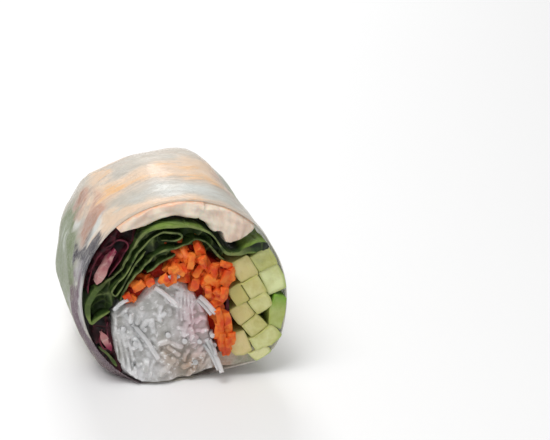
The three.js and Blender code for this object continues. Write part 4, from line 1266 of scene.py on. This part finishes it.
def make_noodles():
    chance = np.random.default_rng(23)
    s = np.linspace(0, 1, 13)
    bunches = {}
    for x1, z1, x2, z2, bow, near, far, thick in LYING:
        bowed = bow * 4 * s * (1 - s) / math.hypot(x2 - x1, z2 - z1)
        x, z = x1 + (x2 - x1) * s + (z1 - z2) * bowed, z1 + (z2 - z1) * s + (x2 - x1) * bowed
        bunches.setdefault(thick, []).append(place(x, z, near + (far - near) * s ** 2, BUNDLE_FLOOR))
    for x, z, proud, thick in ENDS:
        bunches.setdefault(thick, []).append(place(x + 0.8 * (s - 0.5), z - 0.8 * (s - 0.5), -proud + 5 * s))
    pieces = [
        strands("rice_noodles_front", lines, thick, thick, thick * 0.47, 50, Corner_Steps=3, Thinnest=0.92,
                Thickest=1.08, Darkest=0.3, Rough=0.25 * MM, Seed=5, Material=CLEAR_NOODLE)
        for thick, lines in sorted(bunches.items())
    ]
    relief = sunk_strands(chance, BUNDLE, SUNK)

    def patches(*places):
        return lambda x, z: sum(
            strength * bell(x - px, wide) * bell(z - pz, high) for px, pz, wide, high, strength in places)

    # painted shade: darker where the bundle's front sinks between strands, and along its left edge
    def tone(x, z):
        return smooth(0.45, -0.35, relief(x, z)) * 0.8 + 0.4 * bell(x + 18, 2.4)

    pieces.append(core(
        "rice_noodles_bundle", BUNDLE, NOODLE, 0.1, 57, relief,
        {"tone": tone, "warm": patches(*WARM_AND_SHADE), "violet": patches(VIOLET)},
        columns=320, nested=90, floor=BUNDLE_FLOOR))
    serve(joined("rice_noodles_heap", *pieces), "rice_noodle", "rice_noodles")


# ---- the whole roll ----
make_rice_paper()
for shrimp_name, shrimp_spine in SHRIMPS.items():
    make_shrimp(shrimp_name, shrimp_spine)
for leaf_name, leaf_shape in LEAVES.items():
    make_leaf(leaf_name, leaf_shape)
for baton_number, baton in enumerate(BATONS, 1):
    make_baton(baton_number, *baton)
make_carrots()
make_noodles()

# ---- floor, light and camera ----
FLOOR_HALF, FLOOR_DROP = 1500, 0.02
CAMERA_PLACE = np.array((-100.865, -376.433, 203.626))  # from the cut's middle on the floor
CAMERA_TURN, CAMERA_TILT = -18.186, 22.481  # round the roll and above the level, in degrees
FOCAL_LENGTH, FRAME_WIDTH = 1763, 550  # in pixels
SENSOR_WIDTH = 36

floor_corners = np.array([(-1, -1, 0), (1, -1, 0), (1, 1, 0), (-1, 1, 0)]) * FLOOR_HALF - (0, 0, FLOOR_DROP)
mesh_object("floor", floor_corners, [(0, 1, 2, 3)], FLOOR)


def added(name, data, at, back):
    """A light or camera at a place, with its back turned that way."""
    thing = bpy.data.objects.new(name, data)
    thing.location = at
    thing.rotation_euler = (-back).to_track_quat("-Z", "Y").to_euler()
    bpy.context.scene.collection.objects.link(thing)
    return thing


def soft_light(name, at, size, power, aim=Vector((0, 0, 0.02))):
    data = bpy.data.lights.new(name, "AREA")
    data.shape, data.size, data.energy = "SQUARE", size, power
    added(name, data, Vector(at), Vector(at) - aim)


soft_light("overhead", (-0.25, -0.15, 0.75), 0.45, 4.0)
soft_light("behind", (0.10, 0.60, 0.42), 0.25, 1.6)

world = bpy.data.worlds.new("studio")
world.use_nodes = True
world.node_tree.nodes["Background"].inputs["Color"].default_value = (1, 1, 1, 1)
world.node_tree.nodes["Background"].inputs["Strength"].default_value = 0.42
bpy.context.scene.world = world
bpy.context.scene.view_settings.view_transform = "Standard"

camera_data = bpy.data.cameras.new("camera")
camera_data.sensor_width = SENSOR_WIDTH
camera_data.lens = FOCAL_LENGTH / FRAME_WIDTH * SENSOR_WIDTH
turn, tilt = math.radians(CAMERA_TURN), math.radians(CAMERA_TILT)
camera_back = Vector((math.sin(turn) * math.cos(tilt), -math.cos(turn) * math.cos(tilt), math.sin(tilt)))
bpy.context.scene.camera = added("camera", camera_data, Vector((CAMERA_PLACE + ORIGIN) * MM), camera_back)
